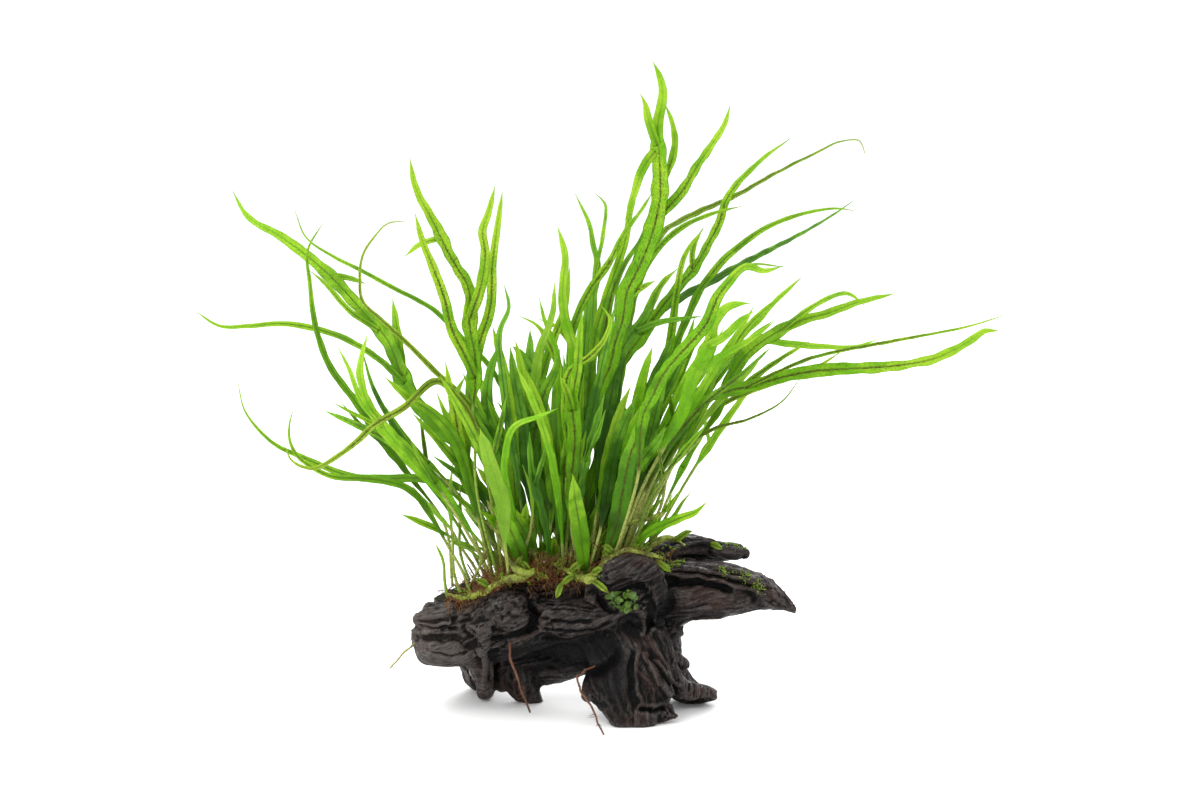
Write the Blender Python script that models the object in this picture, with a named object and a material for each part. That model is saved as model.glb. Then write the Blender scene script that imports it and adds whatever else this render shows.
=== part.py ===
"""Java fern grown on a piece of driftwood.

Seven limbs of wood stand on four feet. A cushion of roots lies along the top of the log, with two
creeping stems in it, and 46 fronds rise out of it. Each frond is one solid: a stalk, its blade and
the lobes that fork off it. The shapes are drawn in a front drawing, in millimetres to the right of
the middle and up from the tip of the front foot, and each point also has a depth, away from the
front. All lengths in the mesh are in metres, with +Z up and the front towards -Y.
"""

from collections import namedtuple
from math import cos, pi, radians, sin

import bmesh
import bpy
import numpy as np
from mathutils import Matrix, Vector
from mathutils.bvhtree import BVHTree

MM = 0.001
GAP = 0.3  # between pieces that touch, mm
MERGE_DISTANCE = 0.000005

# The front drawing is seen from this far, looking down by this angle, with its middle this high.
EYE_DISTANCE = 1200.0
EYE_TILT = radians(8.0)
DRAWING_MIDDLE_UP = 130.4
MIDDLE_HEIGHT = 126.6

# Wood: sides of a limb's section, and how far its ridges and lumps stand, as a share of its radius.
LIMB_SIDES = 12
LIMB_RING_STEP = 9.0
TRUNK_SIDES = 20
TRUNK_RING_STEP = 6.0
RIDGES = ((3, 0.07, 0.055, 1.3), (5, 0.045, -0.08, 4.0), (1, 0.06, 0.16, 2.2))

# Creeping stems and single roots: sides of a section and the step between sections.
STEM_SIDES = 8
STEM_RING_STEP = 5.0
ROOT_SIDES = 6
ROOT_RING_STEP = 6.0
MAT_SIDES = 12
MAT_RING_STEP = 9.0

# Fronds
STALK_RADIUS = 0.65
BLADE_HALF_THICKNESS = 0.34
TIP_HALF_WIDTH = 0.3
STRAP_POWERS = (0.75, 0.6)  # of the place along a blade, and of its bow, for a strap
TAIL_POWERS = (0.3, 0.9)  # what a tail of 1 takes from the first and adds to the second
RING_STEP = 15.0
SAMPLE_STEP = 3.0
FROND_CLEARANCE = 1.1
SETTLE_ROUNDS = 500
BASE_DEPTHS = (-12.0, 11.0)
FACING = np.array((0.0, -0.97, 0.24))
LOBE_RISE = 0.22  # how far a lobe's tip leaves its blade's depth, as a share of its length
LOBE_TAIL = 0.2
LOBE_START = 0.25  # the share of a blade's bow that a lobe leaves out at its fork
DEPTH_CURVE = 1.25  # power by which a frond nears the depth of its tip
SETTLE_PACE = 0.6  # share of a lack that one round makes up
FOOT_SAMPLES = 3.0  # samples over which a frond becomes free to move
SEAT_LENGTH = 45.0  # mm of stalk over which the move of a foot onto its ground fades
ABOVE_ALL = Vector((0.0, 0.0, 0.2))  # a height over the wood, m

# Where the whole thing's box is centred over the ground.
CENTRE = (-4.78, 1.84)

Limb = namedtuple("Limb", "name route lumps web", defaults=((), ()))
Lobe = namedtuple("Lobe", "width route")
Frond = namedtuple("Frond", "name depth width tail stem roll route lobes")

# A limb's route: right, up, depth, half height and half depth of the section, in mm. Its lumps:
# right, up and depth of the middle, reach and height, where a hollow has a height below zero. A web is
# the route of a second body that is grown together with the limb.
TRUNK = Limb("wood_trunk", (
    (-74.5, 38, 4, 5, 6), (-72, 38, 4, 8.5, 10), (-64, 36.6, 4, 12, 14), (-52, 38, 3, 13, 17),
    (-34, 41, 1, 13.5, 19), (-10, 45, 0, 16, 21), (14, 48, 0, 15.5, 20), (30, 52, 1, 11.5, 15),
    (40, 54, 1, 8, 10)), (
    (-38, 48.5, -15, 13, 7.5), (-69, 47, -4, 5, 2.5), (12, 37, -20, 6, -5), (24, 44, -16, 6, -4),
    (11, 60, -14, 10, 9), (-20, 36, -20, 8, -2)))
LIMBS = (
    Limb("wood_left_foot", (
        (-44, 40, 8, 11, 10), (-48, 32, 15, 10, 9), (-48, 25, 25, 7.5, 8), (-47, 19, 35, 5.5, 6),
        (-46, 12, 42, 4.2, 5), (-45.5, 1, 46, 3.4, 4))),
    Limb("wood_middle_foot", (
        (-31, 24, 10, 8, 7), (-29.5, 15, 12, 6.5, 6), (-27, 9.5, 13.5, 4.5, 5), (-25.5, 5, 14, 3.4, 4),
        (-25, -4, 14, 2.6, 3.6)), (), (
        (-50, 29, 15, 8, 8), (-42, 27.5, 14, 12.5, 9), (-30, 28, 11, 13, 10), (-18, 31, 7, 13, 11),
        (-6, 33, 0, 13, 12), (3, 34, -4, 10, 10))),
    Limb("wood_front_foot", (
        (2, 45, -2, 15, 13), (6, 34, -8, 16, 13), (10, 22, -15, 19, 12), (13, 12, -20, 17, 10),
        (13, 5, -24, 12, 8), (12, -6, -26, 7, 5.5))),
    Limb("wood_right_foot", (
        (20, 46, 4, 11, 12), (22, 35, 6, 10, 12), (26, 24, 10, 8, 10), (33, 16, 13, 6, 8),
        (39, 10, 15, 4.5, 6), (43, -4, 16, 3.6, 4.6))),
    Limb("wood_right_branch", (
        (18, 53, -1, 11, 12), (34, 54, -3, 11.5, 14), (50, 55, -5, 10.5, 13), (62, 53.5, -6, 8, 10),
        (72, 49.5, -7, 4, 5.5), (78.5, 45.5, -7, 0.8, 1.2))),
    Limb("wood_upper_branch", (
        (12, 58, 6, 9, 11), (26, 66, 9, 8.5, 10), (38, 71, 12, 6, 8), (50, 70, 14, 3.6, 5),
        (57, 70, 15, 1.8, 2.4))),
)
MAT = Limb("root_mat", (
    (-66, 50, 4, 2, 4), (-58, 50.5, 5, 5, 8), (-44, 54, 5, 6.5, 11), (-28, 57, 5, 7.5, 13),
    (-10, 60, 5, 7.5, 13.5), (4, 63, 5, 6.5, 13), (16, 66, 4, 5, 10), (22, 67, 2, 2, 5)))
RHIZOMES = (
    Limb("rhizome_left", (
        (-62, 53, -7, 0.8, 0.8), (-55, 51.5, -12, 1.2, 1.2), (-46, 54, -17, 1.4, 1.4),
        (-38.5, 58.5, -19.5, 1.5, 1.5), (-33, 59.4, -21.3, 1.9, 1.9), (-27.5, 61, -19.5, 1.3, 1.3))),
    Limb("rhizome_right", (
        (-18, 65, -13, 1, 1), (-12, 61.5, -16.5, 1.4, 1.4), (-7.5, 59.2, -21, 1.5, 1.5),
        (-3, 60, -22.6, 1.9, 1.9), (3, 66.5, -22, 1.4, 1.4), (11, 70.5, -20.5, 1.4, 1.4),
        (18, 69, -19, 1.3, 1.3), (25, 67, -16, 1, 1))),
)
ROOTS = (
    Limb("hanging_root", (
        (-36, 36, -14, 0.6, 0.6), (-36, 31, -20, 0.6, 0.6), (-34, 22, -20, 0.6, 0.6),
        (-31, 13, -16, 0.5, 0.5), (-28, 5.5, -9, 0.5, 0.5))),
    Limb("floor_root", (
        (-2, 24, -22, 0.5, 0.5), (-9, 20, -33, 0.5, 0.5), (-5, 10, -39, 0.5, 0.5),
        (-1, 2, -43, 0.45, 0.45), (1.5, -3.4, -47, 0.4, 0.4))),
    Limb("left_root", (
        (-68, 36, 0, 0.5, 0.5), (-75, 32, -4, 0.5, 0.5), (-79, 29, -6, 0.45, 0.45),
        (-84, 23, -7, 0.4, 0.4))),
)

# The small round leaves: right, up, depth of the middle, then the leaves' radius and number.
LEAFLETS = (9.5, 50.5, -23.5)
LEAFLET_RADIUS = 2.3
LEAFLET_COUNT = 7
LEAFLET_RING = 2.9
LEAFLET_CORE = 2.0
LEAFLET_FLATNESS = 0.34
LEAFLET_FORWARD = (1.2, 1.6)  # how far even and odd leaves stand in front of the middle, mm
LEAFLET_LEAN = 0.5

# A frond's depth is that of its tip, its width the blade's, its tail how early the blade thins, its
# stem the stalk's share of its length, and its roll, in degrees, how far it turns its edge to the front.
FRONDS = (
    Frond("frond_left_01", 52, 6.8, 0.35, 0.2, 18, (
        (-32, 62), (-37, 71), (-45, 90), (-55, 110), (-64, 119), (-76, 133), (-86, 156),
        (-94, 165), (-110, 182), (-128, 196), (-141, 204), (-147, 214)), (
        Lobe(2.8, ((-78, 137), (-90, 148), (-100, 154), (-114, 159), (-127, 161), (-141, 160),
                   (-152, 160), (-162, 166))),
        Lobe(4.6, ((-79, 140), (-81, 158), (-83, 171))),
        Lobe(2.6, ((-88, 158), (-100, 166), (-111, 178), (-116, 182))),
        Lobe(3, ((-108, 180), (-100, 179), (-94, 177))))),
    Frond("frond_left_02", -34, 5.2, 0.2, 0.4, -12, (
        (-40, 62), (-50, 102), (-50, 113), (-51, 124), (-50, 135), (-50, 148), (-52, 158),
        (-53, 176), (-59, 186), (-67, 202), (-74, 216), (-76, 227)), (
        Lobe(4.3, ((-52, 163), (-47, 179), (-46, 190), (-47, 198), (-45, 204), (-42, 216))),
        Lobe(4.2, ((-50, 141), (-49, 150), (-44, 167), (-43, 185), (-41, 200), (-39, 214))),
        Lobe(4.4, ((-50, 139), (-54, 148), (-59, 158), (-62, 170), (-67, 184), (-71, 194),
                 (-74, 205))),
        Lobe(2.6, ((-64, 195), (-71, 193), (-78, 188))))),
    Frond("frond_left_03", 30, 2.4, 0.6, 0.3, 22, (
        (-16, 66), (-20, 95), (-26, 122), (-36, 131), (-45, 145), (-55, 155), (-66, 166),
        (-84, 176), (-95, 182), (-107, 188), (-118, 196), (-122, 206)), ()),
    Frond("frond_left_04", 12, 2.3, 0.8, 0.3, 15, (
        (-31, 65), (-34, 100), (-42, 115), (-56, 133), (-65, 141), (-77, 153), (-88, 163),
        (-95, 170), (-96, 179), (-95, 188), (-90, 196), (-85, 201), (-78, 202)), ()),
    Frond("frond_left_05", 38, 3.4, 0.7, 0.22, -20, (
        (-59, 56), (-62, 80), (-77, 101), (-90, 118), (-98, 130), (-107, 142), (-114, 161),
        (-116, 177), (-117, 190), (-111, 201)), (
        Lobe(1.8, ((-86, 112), (-96, 121), (-104, 130))),)),
    Frond("frond_left_06", 20, 5, 1, 0.2, 14, (
        (-40, 64), (-48, 90), (-53, 94), (-71, 99), (-88, 99), (-100, 100), (-111, 104),
        (-120, 108), (-129, 112), (-135, 117), (-142, 126), (-145, 138)), ()),
    Frond("frond_left_07", -26, 4.2, 0.8, 0.2, -12, (
        (-51, 60), (-55, 69), (-60, 76), (-67, 86), (-72, 92), (-79, 96), (-94, 99), (-108, 100),
        (-116, 104), (-121, 108), (-124, 114), (-124, 122), (-122, 128)), ()),
    Frond("frond_left_08", -44, 3.1, 0.4, 0.3, 18, (
        (-38, 65), (-45, 100), (-54, 128), (-65, 138), (-79, 127), (-91, 120), (-96, 115),
        (-105, 108), (-116, 103), (-124, 107), (-126, 113)), ()),
    Frond("frond_left_09", -18, 5.5, 0.4, 0.18, 14, (
        (-38, 64), (-46, 75), (-53, 82), (-60, 91), (-69, 100), (-76, 107), (-82, 114),
        (-89, 123), (-94, 132), (-96, 142), (-93, 157)), (
        Lobe(2.4, ((-87, 119), (-96, 131), (-100, 142), (-105, 152))),)),
    Frond("frond_left_10", 4, 3.8, 0.3, 0.3, -25, (
        (-43, 62), (-52, 98), (-57, 110), (-59, 119), (-61, 124), (-64, 130)), (
        Lobe(4.4, ((-54, 104), (-54, 114), (-58, 126))),)),
    Frond("frond_left_11", -8, 1.6, 0.2, 0.7, 0, (
        (-61, 53), (-62, 58), (-63, 68), (-66, 74)), ()),
    Frond("frond_left_12", -12, 2, 0.5, 0.5, 30, (
        (-56, 54), (-58, 60), (-59, 75), (-60, 89), (-59, 105)), ()),
    Frond("frond_left_13", 8, 2, 0.5, 0.5, -30, (
        (-52, 55), (-54, 60), (-56, 68), (-56, 80), (-56, 96)), ()),
    Frond("frond_left_14", 16, 2.2, 0.5, 0.5, 20, (
        (-48, 56), (-50, 60), (-56, 70), (-59, 76), (-68, 87), (-75, 96)), ()),
    Frond("frond_middle_01", -66, 6.8, 0.1, 0.25, 8, (
        (-36, 66), (-38, 80), (-39, 94), (-44, 106), (-48, 119)), ()),
    Frond("frond_middle_02", -22, 5.4, 0.3, 0.2, 15, (
        (-29, 66), (-33, 96), (-37, 103), (-40, 110), (-46, 121), (-52, 130)), ()),
    Frond("frond_middle_03", -60, 8, 0, 0.12, -10, (
        (-28, 64), (-31, 72), (-37, 84), (-43, 90)), ()),
    Frond("frond_middle_04", -30, 1.8, 0.5, 0.6, 20, (
        (-32, 65), (-31, 74), (-28, 82), (-27, 91), (-28, 98), (-31, 105)), ()),
    Frond("frond_middle_05", -14, 6.2, 0.3, 0.15, -18, (
        (-16, 66), (-18, 79), (-24, 94), (-27, 102), (-26, 118), (-24, 126), (-22, 134),
        (-18, 142), (-16, 151)), (
        Lobe(3, ((-25, 120), (-30, 123), (-36, 124))),)),
    Frond("frond_middle_06", -38, 5.6, 0.3, 0.2, 12, (
        (-7, 64), (-10, 74), (-12, 91), (-11, 103), (-10, 115), (-11, 129), (-9, 143),
        (-8, 157), (-7, 166)), (
        Lobe(3.6, ((-11, 126), (-13, 133), (-16, 140))),)),
    Frond("frond_middle_07", -74, 7.4, 0, 0.12, -8, (
        (-5, 64), (-6, 70), (-7, 77), (-8, 84), (-10, 94), (-11, 102)), ()),
    Frond("frond_middle_08", 6, 5.4, 0.2, 0.15, 25, (
        (-3, 66), (-2, 81), (2, 91), (6, 102)), ()),
    Frond("frond_middle_09", -52, 8.6, 0.1, 0.12, 12, (
        (0, 66), (3, 75), (6, 82), (9, 95), (12, 108), (16, 118), (20, 130)), ()),
    Frond("frond_middle_10", 34, 6.4, 0.2, 0.31, 10, (
        (-21, 66), (-26, 100), (-27, 130), (-28, 140), (-28, 150), (-28, 159)), (
        Lobe(4.2, ((-28, 142), (-31, 148), (-35, 152))),
        Lobe(4.2, ((-28, 141), (-25, 148), (-21, 153))))),
    Frond("frond_middle_11", 24, 4.4, 0.4, 0.22, -22, (
        (-14, 66), (-12, 100), (-13, 125), (-15, 137), (-17, 145), (-20, 152), (-25, 160),
        (-32, 164)), ()),
    Frond("frond_middle_12", 44, 3.6, 0.5, 0.25, 20, (
        (-17, 66), (-17, 100), (-18, 128), (-16, 139), (-13, 142), (-8, 144), (-2, 148),
        (2, 154), (3, 160), (2, 167)), ()),
    Frond("frond_middle_13", 58, 4, 0.4, 0.22, 25, (
        (-9, 66), (-6, 100), (-4, 130), (-3, 153), (-3, 162), (-2, 176), (-1, 185), (-3, 194),
        (-4, 200), (-7, 207), (-10, 213)), (
        Lobe(2.2, ((-2, 180), (1, 195), (2, 202), (2, 209), (-2, 213))),)),
    Frond("frond_middle_14", 14, 4.8, 0.1, 0.2, -15, (
        (-13, 66), (-14, 100), (-12, 130), (-11, 152), (-14, 163), (-15, 174), (-14, 188),
        (-17, 200)), ()),
    Frond("frond_middle_15", -4, 5, 0.4, 0.18, 18, (
        (-20, 66), (-24, 100), (-28, 130), (-26, 138), (-24, 150), (-19, 165), (-18, 178)), ()),
    Frond("frond_middle_16", 46, 4.4, 0.4, 0.2, -20, (
        (-5, 66), (-6, 100), (-5, 130), (-1, 160), (4, 176), (10, 194), (12, 207)), ()),
    Frond("frond_right_01", -10, 8.6, 0.2, 0.25, 16, (
        (-10, 63), (-17, 74), (-18, 80), (-17, 87), (-14, 96), (-12, 105), (-8, 114), (-4, 123),
        (0, 135), (4, 144), (6, 153), (9, 162), (11, 174), (15, 182), (20, 194), (24, 211),
        (24, 225), (23, 238), (25, 255), (23, 262), (21, 266)), (
        Lobe(3.6, ((23, 232), (19, 244), (18, 249), (16, 253))),
        Lobe(3.4, ((24, 216), (29, 227), (30, 234), (29, 241), (26, 249))),
        Lobe(3.8, ((22, 230), (17, 223), (14, 214), (10, 202))),
        Lobe(4.4, ((22, 202), (33, 214), (39, 224), (45, 233), (50, 241), (52, 248))),
        Lobe(3, ((11, 170), (16, 175), (22, 178))))),
    Frond("frond_right_02", 78, 3.8, 0.9, 0.22, 58, (
        (-1, 66), (2, 100), (8, 140), (16, 178), (26, 198), (38, 205), (54, 212), (70, 221),
        (86, 229), (97, 234), (104, 234), (106, 229)), ()),
    Frond("frond_right_03", 28, 3.8, 0.5, 0.22, -15, (
        (1, 66), (3, 100), (7, 140), (13, 172), (24, 192), (32, 199), (45, 205), (57, 208)), ()),
    Frond("frond_right_04", 36, 4.8, 0.45, 0.2, 20, (
        (2, 66), (1, 100), (5, 139), (10, 147), (16, 155), (23, 165), (30, 174), (39, 185),
        (44, 194), (48, 202), (50, 209), (64, 226), (76, 235)), (
        Lobe(4, ((17, 156), (20, 168), (25, 177), (31, 183))),
        Lobe(2.4, ((37, 183), (37, 190), (41, 199))))),
    Frond("frond_right_05", 70, 4.6, 0.7, 0.22, 62, (
        (3, 66), (3, 100), (5, 135), (8, 151), (13, 157), (27, 168), (43, 177), (59, 186),
        (75, 194), (94, 205), (101, 210)), ()),
    Frond("frond_right_06", 62, 3.6, 0.6, 0.22, -18, (
        (5, 66), (9, 95), (20, 130), (30, 152), (36, 166), (39, 173), (44, 180), (50, 187),
        (56, 192), (64, 198), (75, 203), (86, 206), (96, 207), (102, 206)), ()),
    Frond("frond_right_07", -62, 5.6, 0.35, 0.17, 14, (
        (4, 67), (9, 81), (15, 100), (18, 126), (21, 132), (25, 140), (35, 152), (42, 160),
        (48, 173), (52, 178), (59, 184), (65, 182), (73, 184)), ()),
    Frond("frond_right_08", -46, 5.8, 0.2, 0.17, -16, (
        (5, 66), (11, 81), (18, 98), (26, 112), (33, 126), (37, 139), (44, 154), (45, 160),
        (48, 165), (52, 168), (56, 169), (60, 169)), (
        Lobe(3.4, ((43, 152), (50, 156), (54, 160), (57, 163), (62, 166))),
        Lobe(3, ((39, 143), (52, 150), (62, 156), (70, 162))))),
    Frond("frond_right_09", -30, 5.2, -0.1, 0.19, 16, (
        (2, 67), (9, 81), (18, 98), (26, 112), (35, 125), (43, 131), (52, 134), (64, 137),
        (75, 140), (86, 142), (102, 143), (118, 144), (134, 147), (148, 154), (154, 158),
        (160, 158)), (
        Lobe(1.8, ((58, 135), (72, 142), (84, 147), (96, 150), (112, 153), (128, 156),
                   (148, 160), (161, 164))),
        Lobe(2.6, ((56, 135), (64, 141), (71, 146), (79, 151), (84, 154))))),
    Frond("frond_right_10", 18, 3.4, 0.4, 0.22, -30, (
        (7, 67), (14, 85), (28, 106), (40, 130), (52, 147), (64, 154), (75, 153), (86, 152),
        (103, 152), (112, 155)), (
        Lobe(2.8, ((46, 139), (56, 155), (64, 163), (71, 171), (80, 179))),)),
    Frond("frond_right_11", -2, 5, 0.3, 0.19, 14, (
        (8, 68), (15, 89), (28, 103), (37, 112), (46, 124), (52, 139), (59, 149), (70, 157),
        (80, 162), (91, 165), (102, 169), (118, 173)), (
        Lobe(2.6, ((72, 158), (84, 167), (91, 171), (99, 173), (106, 168))),)),
    Frond("frond_right_12", -20, 2.4, 0.8, 0.25, 25, (
        (14, 67), (20, 79), (24, 87), (28, 103), (40, 116), (46, 119), (60, 123), (73, 130),
        (80, 139)), ()),
    Frond("frond_right_13", -58, 3.8, 0.3, 0.15, 10, (
        (12, 65), (14, 71), (18, 76), (25, 80), (32, 83), (39, 86), (43, 90)), ()),
    Frond("frond_right_14", -6, 2, 0.5, 0.31, 20, (
        (14, 68), (22, 75), (30, 84), (33, 89), (37, 94)), ()),
    Frond("frond_right_15", -48, 6.2, 0.2, 0.15, -14, (
        (3, 67), (7, 85), (12, 102), (18, 108), (23, 114), (26, 120)), ()),
    Frond("frond_right_16", 2, 6.2, 0.35, 0.2, -20, (
        (-2, 66), (0, 100), (4, 130), (9, 151), (17, 163), (24, 175)), (
        Lobe(2.6, ((14, 158), (22, 161), (41, 164))),)),
)

# Colour and roughness of each kind of piece.
FINISHES = {
    "wood": ((0.030, 0.022, 0.020), 0.55),
    "root_mat": ((0.22, 0.075, 0.03), 0.85),
    "rhizome": ((0.20, 0.26, 0.05), 0.5),
    "root": ((0.18, 0.07, 0.03), 0.7),
    "frond": ((0.10, 0.26, 0.02), 0.35),
}


def spot(right, up, depth):
    """World places, in mm, of points of the front drawing, each seen from the drawing's eye."""
    right, up, depth = np.broadcast_arrays(*(np.asarray(v, float) for v in (right, up, depth)))
    look_up = np.array((0.0, sin(EYE_TILT), cos(EYE_TILT)))
    middle = np.array((0.0, 0.0, MIDDLE_HEIGHT))
    eye = middle + EYE_DISTANCE * np.array((0.0, -cos(EYE_TILT), sin(EYE_TILT)))
    drawn = middle + np.stack((right, 0 * right, 0 * right), -1)
    drawn = drawn + (up - DRAWING_MIDDLE_UP)[..., None] * look_up
    share = (depth - eye[1]) / (drawn[..., 1] - eye[1])
    return eye + (drawn - eye) * share[..., None]


def curve(points, count):
    """Rows read at equal steps from a smooth curve through the given rows."""
    points = np.array(points, float)
    steps = np.linalg.norm(np.diff(points[:, :2], axis=0), axis=1)
    along = np.concatenate(([0.0], np.cumsum(steps)))
    slope = np.gradient(points, along, axis=0)
    wanted = np.linspace(0.0, along[-1], count)
    k = np.clip(np.searchsorted(along, wanted, side="right") - 1, 0, len(points) - 2)
    span = (along[k + 1] - along[k])[:, None]
    t = (wanted - along[k])[:, None] / span
    start = (1 + 2 * t) * (1 - t) ** 2 * points[k] + t * (1 - t) ** 2 * span * slope[k]
    end = t * t * (3 - 2 * t) * points[k + 1] + t * t * (t - 1) * span * slope[k + 1]
    return start + end


def unit(rows):
    """The rows, each scaled to length 1."""
    return rows / np.maximum(np.linalg.norm(rows, axis=-1, keepdims=True), 1e-9)


def new_object(name, mesh, kind):
    """An object with the mesh and the finish of its kind."""
    made = bpy.data.objects.new(name, mesh)
    bpy.context.scene.collection.objects.link(made)
    colour, roughness = FINISHES[kind]
    finish = bpy.data.materials.new(name)
    finish.use_nodes = True
    shader = finish.node_tree.nodes["Principled BSDF"]
    shader.inputs["Base Color"].default_value = (*colour, 1.0)
    shader.inputs["Roughness"].default_value = roughness
    shader.inputs["Metallic"].default_value = 0.0
    mesh.materials.clear()
    mesh.materials.append(finish)
    return made


def rings_mesh(name, rings):
    """A closed mesh through the rings, an array of rings by corners by 3 in mm, with flat ends."""
    count, sides = rings.shape[:2]
    mesh = bmesh.new()
    corners = [[mesh.verts.new(p * MM) for p in ring] for ring in rings]
    for low, high in zip(corners, corners[1:]):
        for k in range(sides):
            n = (k + 1) % sides
            mesh.faces.new((low[k], low[n], high[n], high[k]))
    mesh.faces.new(corners[0][::-1])
    mesh.faces.new(corners[-1])
    bmesh.ops.recalc_face_normals(mesh, faces=mesh.faces)
    bmesh.ops.triangulate(mesh, faces=mesh.faces)
    made = bpy.data.meshes.new(name)
    mesh.to_mesh(made)
    mesh.free()
    return made


def combine(name, first, others, operation):
    """The first mesh with each of the other meshes joined to it or cut from it."""
    for solver in ("EXACT", "MANIFOLD"):
        body = bpy.data.objects.new(name, first)
        bpy.context.scene.collection.objects.link(body)
        tools = []
        for other in others:
            tool = bpy.data.objects.new("tool", other)
            bpy.context.scene.collection.objects.link(tool)
            step = body.modifiers.new("step", "BOOLEAN")
            step.operation = operation
            step.solver = solver
            step.object = tool
            tools.append(tool)
        view = bpy.context.evaluated_depsgraph_get()
        made = largest_body(bpy.data.meshes.new_from_object(body.evaluated_get(view)))
        for spent in [body, *tools]:
            bpy.data.objects.remove(spent)
        if is_closed(made):
            break
    made.name = name
    return made


def is_closed(mesh):
    """Whether every edge of the mesh joins exactly two faces."""
    work = bmesh.new()
    work.from_mesh(mesh)
    closed = all(edge.is_manifold for edge in work.edges)
    work.free()
    return closed


def largest_body(mesh):
    """The mesh with only its biggest connected body left, and with no needless vertices."""
    work = bmesh.new()
    work.from_mesh(mesh)
    bmesh.ops.remove_doubles(work, verts=work.verts, dist=MERGE_DISTANCE)
    bmesh.ops.triangulate(work, faces=work.faces)
    todo, bodies = set(work.verts), []
    while todo:
        body, edge_of = set(), [todo.pop()]
        while edge_of:
            vert = edge_of.pop()
            body.add(vert)
            for edge in vert.link_edges:
                other = edge.other_vert(vert)
                if other in todo:
                    todo.remove(other)
                    edge_of.append(other)
        bodies.append(body)
    keep = max(bodies, key=len)
    bmesh.ops.delete(work, geom=[v for v in work.verts if v not in keep], context="VERTS")
    work.to_mesh(mesh)
    work.free()
    return mesh


def limb_mesh(limb, grow=0.0, ridges=RIDGES, sides=LIMB_SIDES, ring_step=LIMB_RING_STEP):
    """A limb: rounded rings along its route, with winding ridges and its own lumps and hollows."""
    route = np.array(limb.route, float)
    length = np.linalg.norm(np.diff(route[:, :3], axis=0), axis=1).sum()
    rows = curve(route, max(int(length / ring_step) + 2, 4))
    middle = spot(rows[:, 0], rows[:, 1], rows[:, 2])
    forward = unit(np.gradient(middle, axis=0))
    deep = unit(np.array((0.0, 1.0, 0.0)) - forward * forward[:, 1:2])
    high = np.cross(deep, forward)
    along = np.concatenate(([0.0], np.cumsum(np.linalg.norm(np.diff(middle, axis=0), axis=1))))
    turn = np.linspace(0.0, 2 * pi, sides, endpoint=False)
    swell = 1.0 + 0 * along[:, None] * turn
    for number, share, winding, phase in ridges:
        swell = swell + share * np.sin(number * turn + winding * along[:, None] + phase)
    tall = (rows[:, 3:4] * swell + grow)[..., None] * np.cos(turn)[:, None] * high[:, None]
    wide = (rows[:, 4:5] * swell + grow)[..., None] * np.sin(turn)[:, None] * deep[:, None]
    ends = np.zeros_like(middle)
    ends[0], ends[-1] = -forward[0] * grow, forward[-1] * grow
    rings = (middle + ends)[:, None] + tall + wide
    for right, up, depth, reach, height in limb.lumps:
        away = np.linalg.norm(rings - spot(right, up, depth), axis=-1, keepdims=True)
        rings = rings + height * np.exp(-(away / reach) ** 2) * unit(rings - middle[:, None])
    return rings_mesh(limb.name, rings)


def trunk_mesh(grow=0.0):
    """The trunk, with enough rings and sides for its lumps."""
    return limb_mesh(TRUNK, grow, sides=TRUNK_SIDES, ring_step=TRUNK_RING_STEP)


def limb_bodies(limb, grow=0.0):
    """The bodies of a limb: the trunk's, or a limb's own and its web's."""
    if limb is TRUNK:
        return [trunk_mesh(grow)]
    bodies = [limb_mesh(limb, grow)]
    if limb.web:
        bodies.append(limb_mesh(Limb(limb.name, limb.web), grow))
    return bodies


def wood_cutters(limbs):
    """Copies of the limbs, grown by the gap that touching pieces keep."""
    return [body for limb in limbs for body in limb_bodies(limb, GAP)]


def cut_at_ground(mesh):
    """The mesh with all that is below z = 0 cut off flat."""
    work = bmesh.new()
    work.from_mesh(mesh)
    geometry = work.verts[:] + work.edges[:] + work.faces[:]
    cut = bmesh.ops.bisect_plane(work, geom=geometry, plane_co=(0, 0, 0), plane_no=(0, 0, 1),
                                 clear_inner=True)
    rim = [e for e in cut["geom_cut"] if isinstance(e, bmesh.types.BMEdge)]
    bmesh.ops.contextual_create(work, geom=rim)
    bmesh.ops.recalc_face_normals(work, faces=work.faces)
    bmesh.ops.triangulate(work, faces=work.faces)
    work.to_mesh(mesh)
    work.free()
    return mesh


def build_wood():
    """The limbs, each cut back from the limbs before it, and the list of their grown copies."""
    new_object(TRUNK.name, trunk_mesh(), "wood")
    grown = [TRUNK]
    for limb in LIMBS:
        body, *webs = limb_bodies(limb)
        if webs:
            body = combine(limb.name, body, webs, "UNION")
        if limb.name.endswith("foot"):
            body = cut_at_ground(body)
        cutters = wood_cutters(grown)
        new_object(limb.name, combine(limb.name, body, cutters, "DIFFERENCE"), "wood")
        grown.append(limb)
    return grown


def build_base(wood):
    """The creeping stems, the root cushion and the single roots, cut back from the wood."""
    for stem in RHIZOMES:
        cutters = wood_cutters(wood)
        body = limb_mesh(stem, ridges=(), sides=STEM_SIDES, ring_step=STEM_RING_STEP)
        new_object(stem.name, combine(stem.name, body, cutters, "DIFFERENCE"), "rhizome")
    cutters = wood_cutters(wood)
    cutters += [limb_mesh(s, GAP, (), STEM_SIDES, STEM_RING_STEP) for s in RHIZOMES]
    body = limb_mesh(MAT, sides=MAT_SIDES, ring_step=MAT_RING_STEP)
    new_object(MAT.name, combine(MAT.name, body, cutters, "DIFFERENCE"), "root_mat")
    for root in ROOTS:
        cutters = wood_cutters(wood)
        body = limb_mesh(root, ridges=(), sides=ROOT_SIDES, ring_step=ROOT_RING_STEP)
        new_object(root.name, combine(root.name, body, cutters, "DIFFERENCE"), "root")


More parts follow.
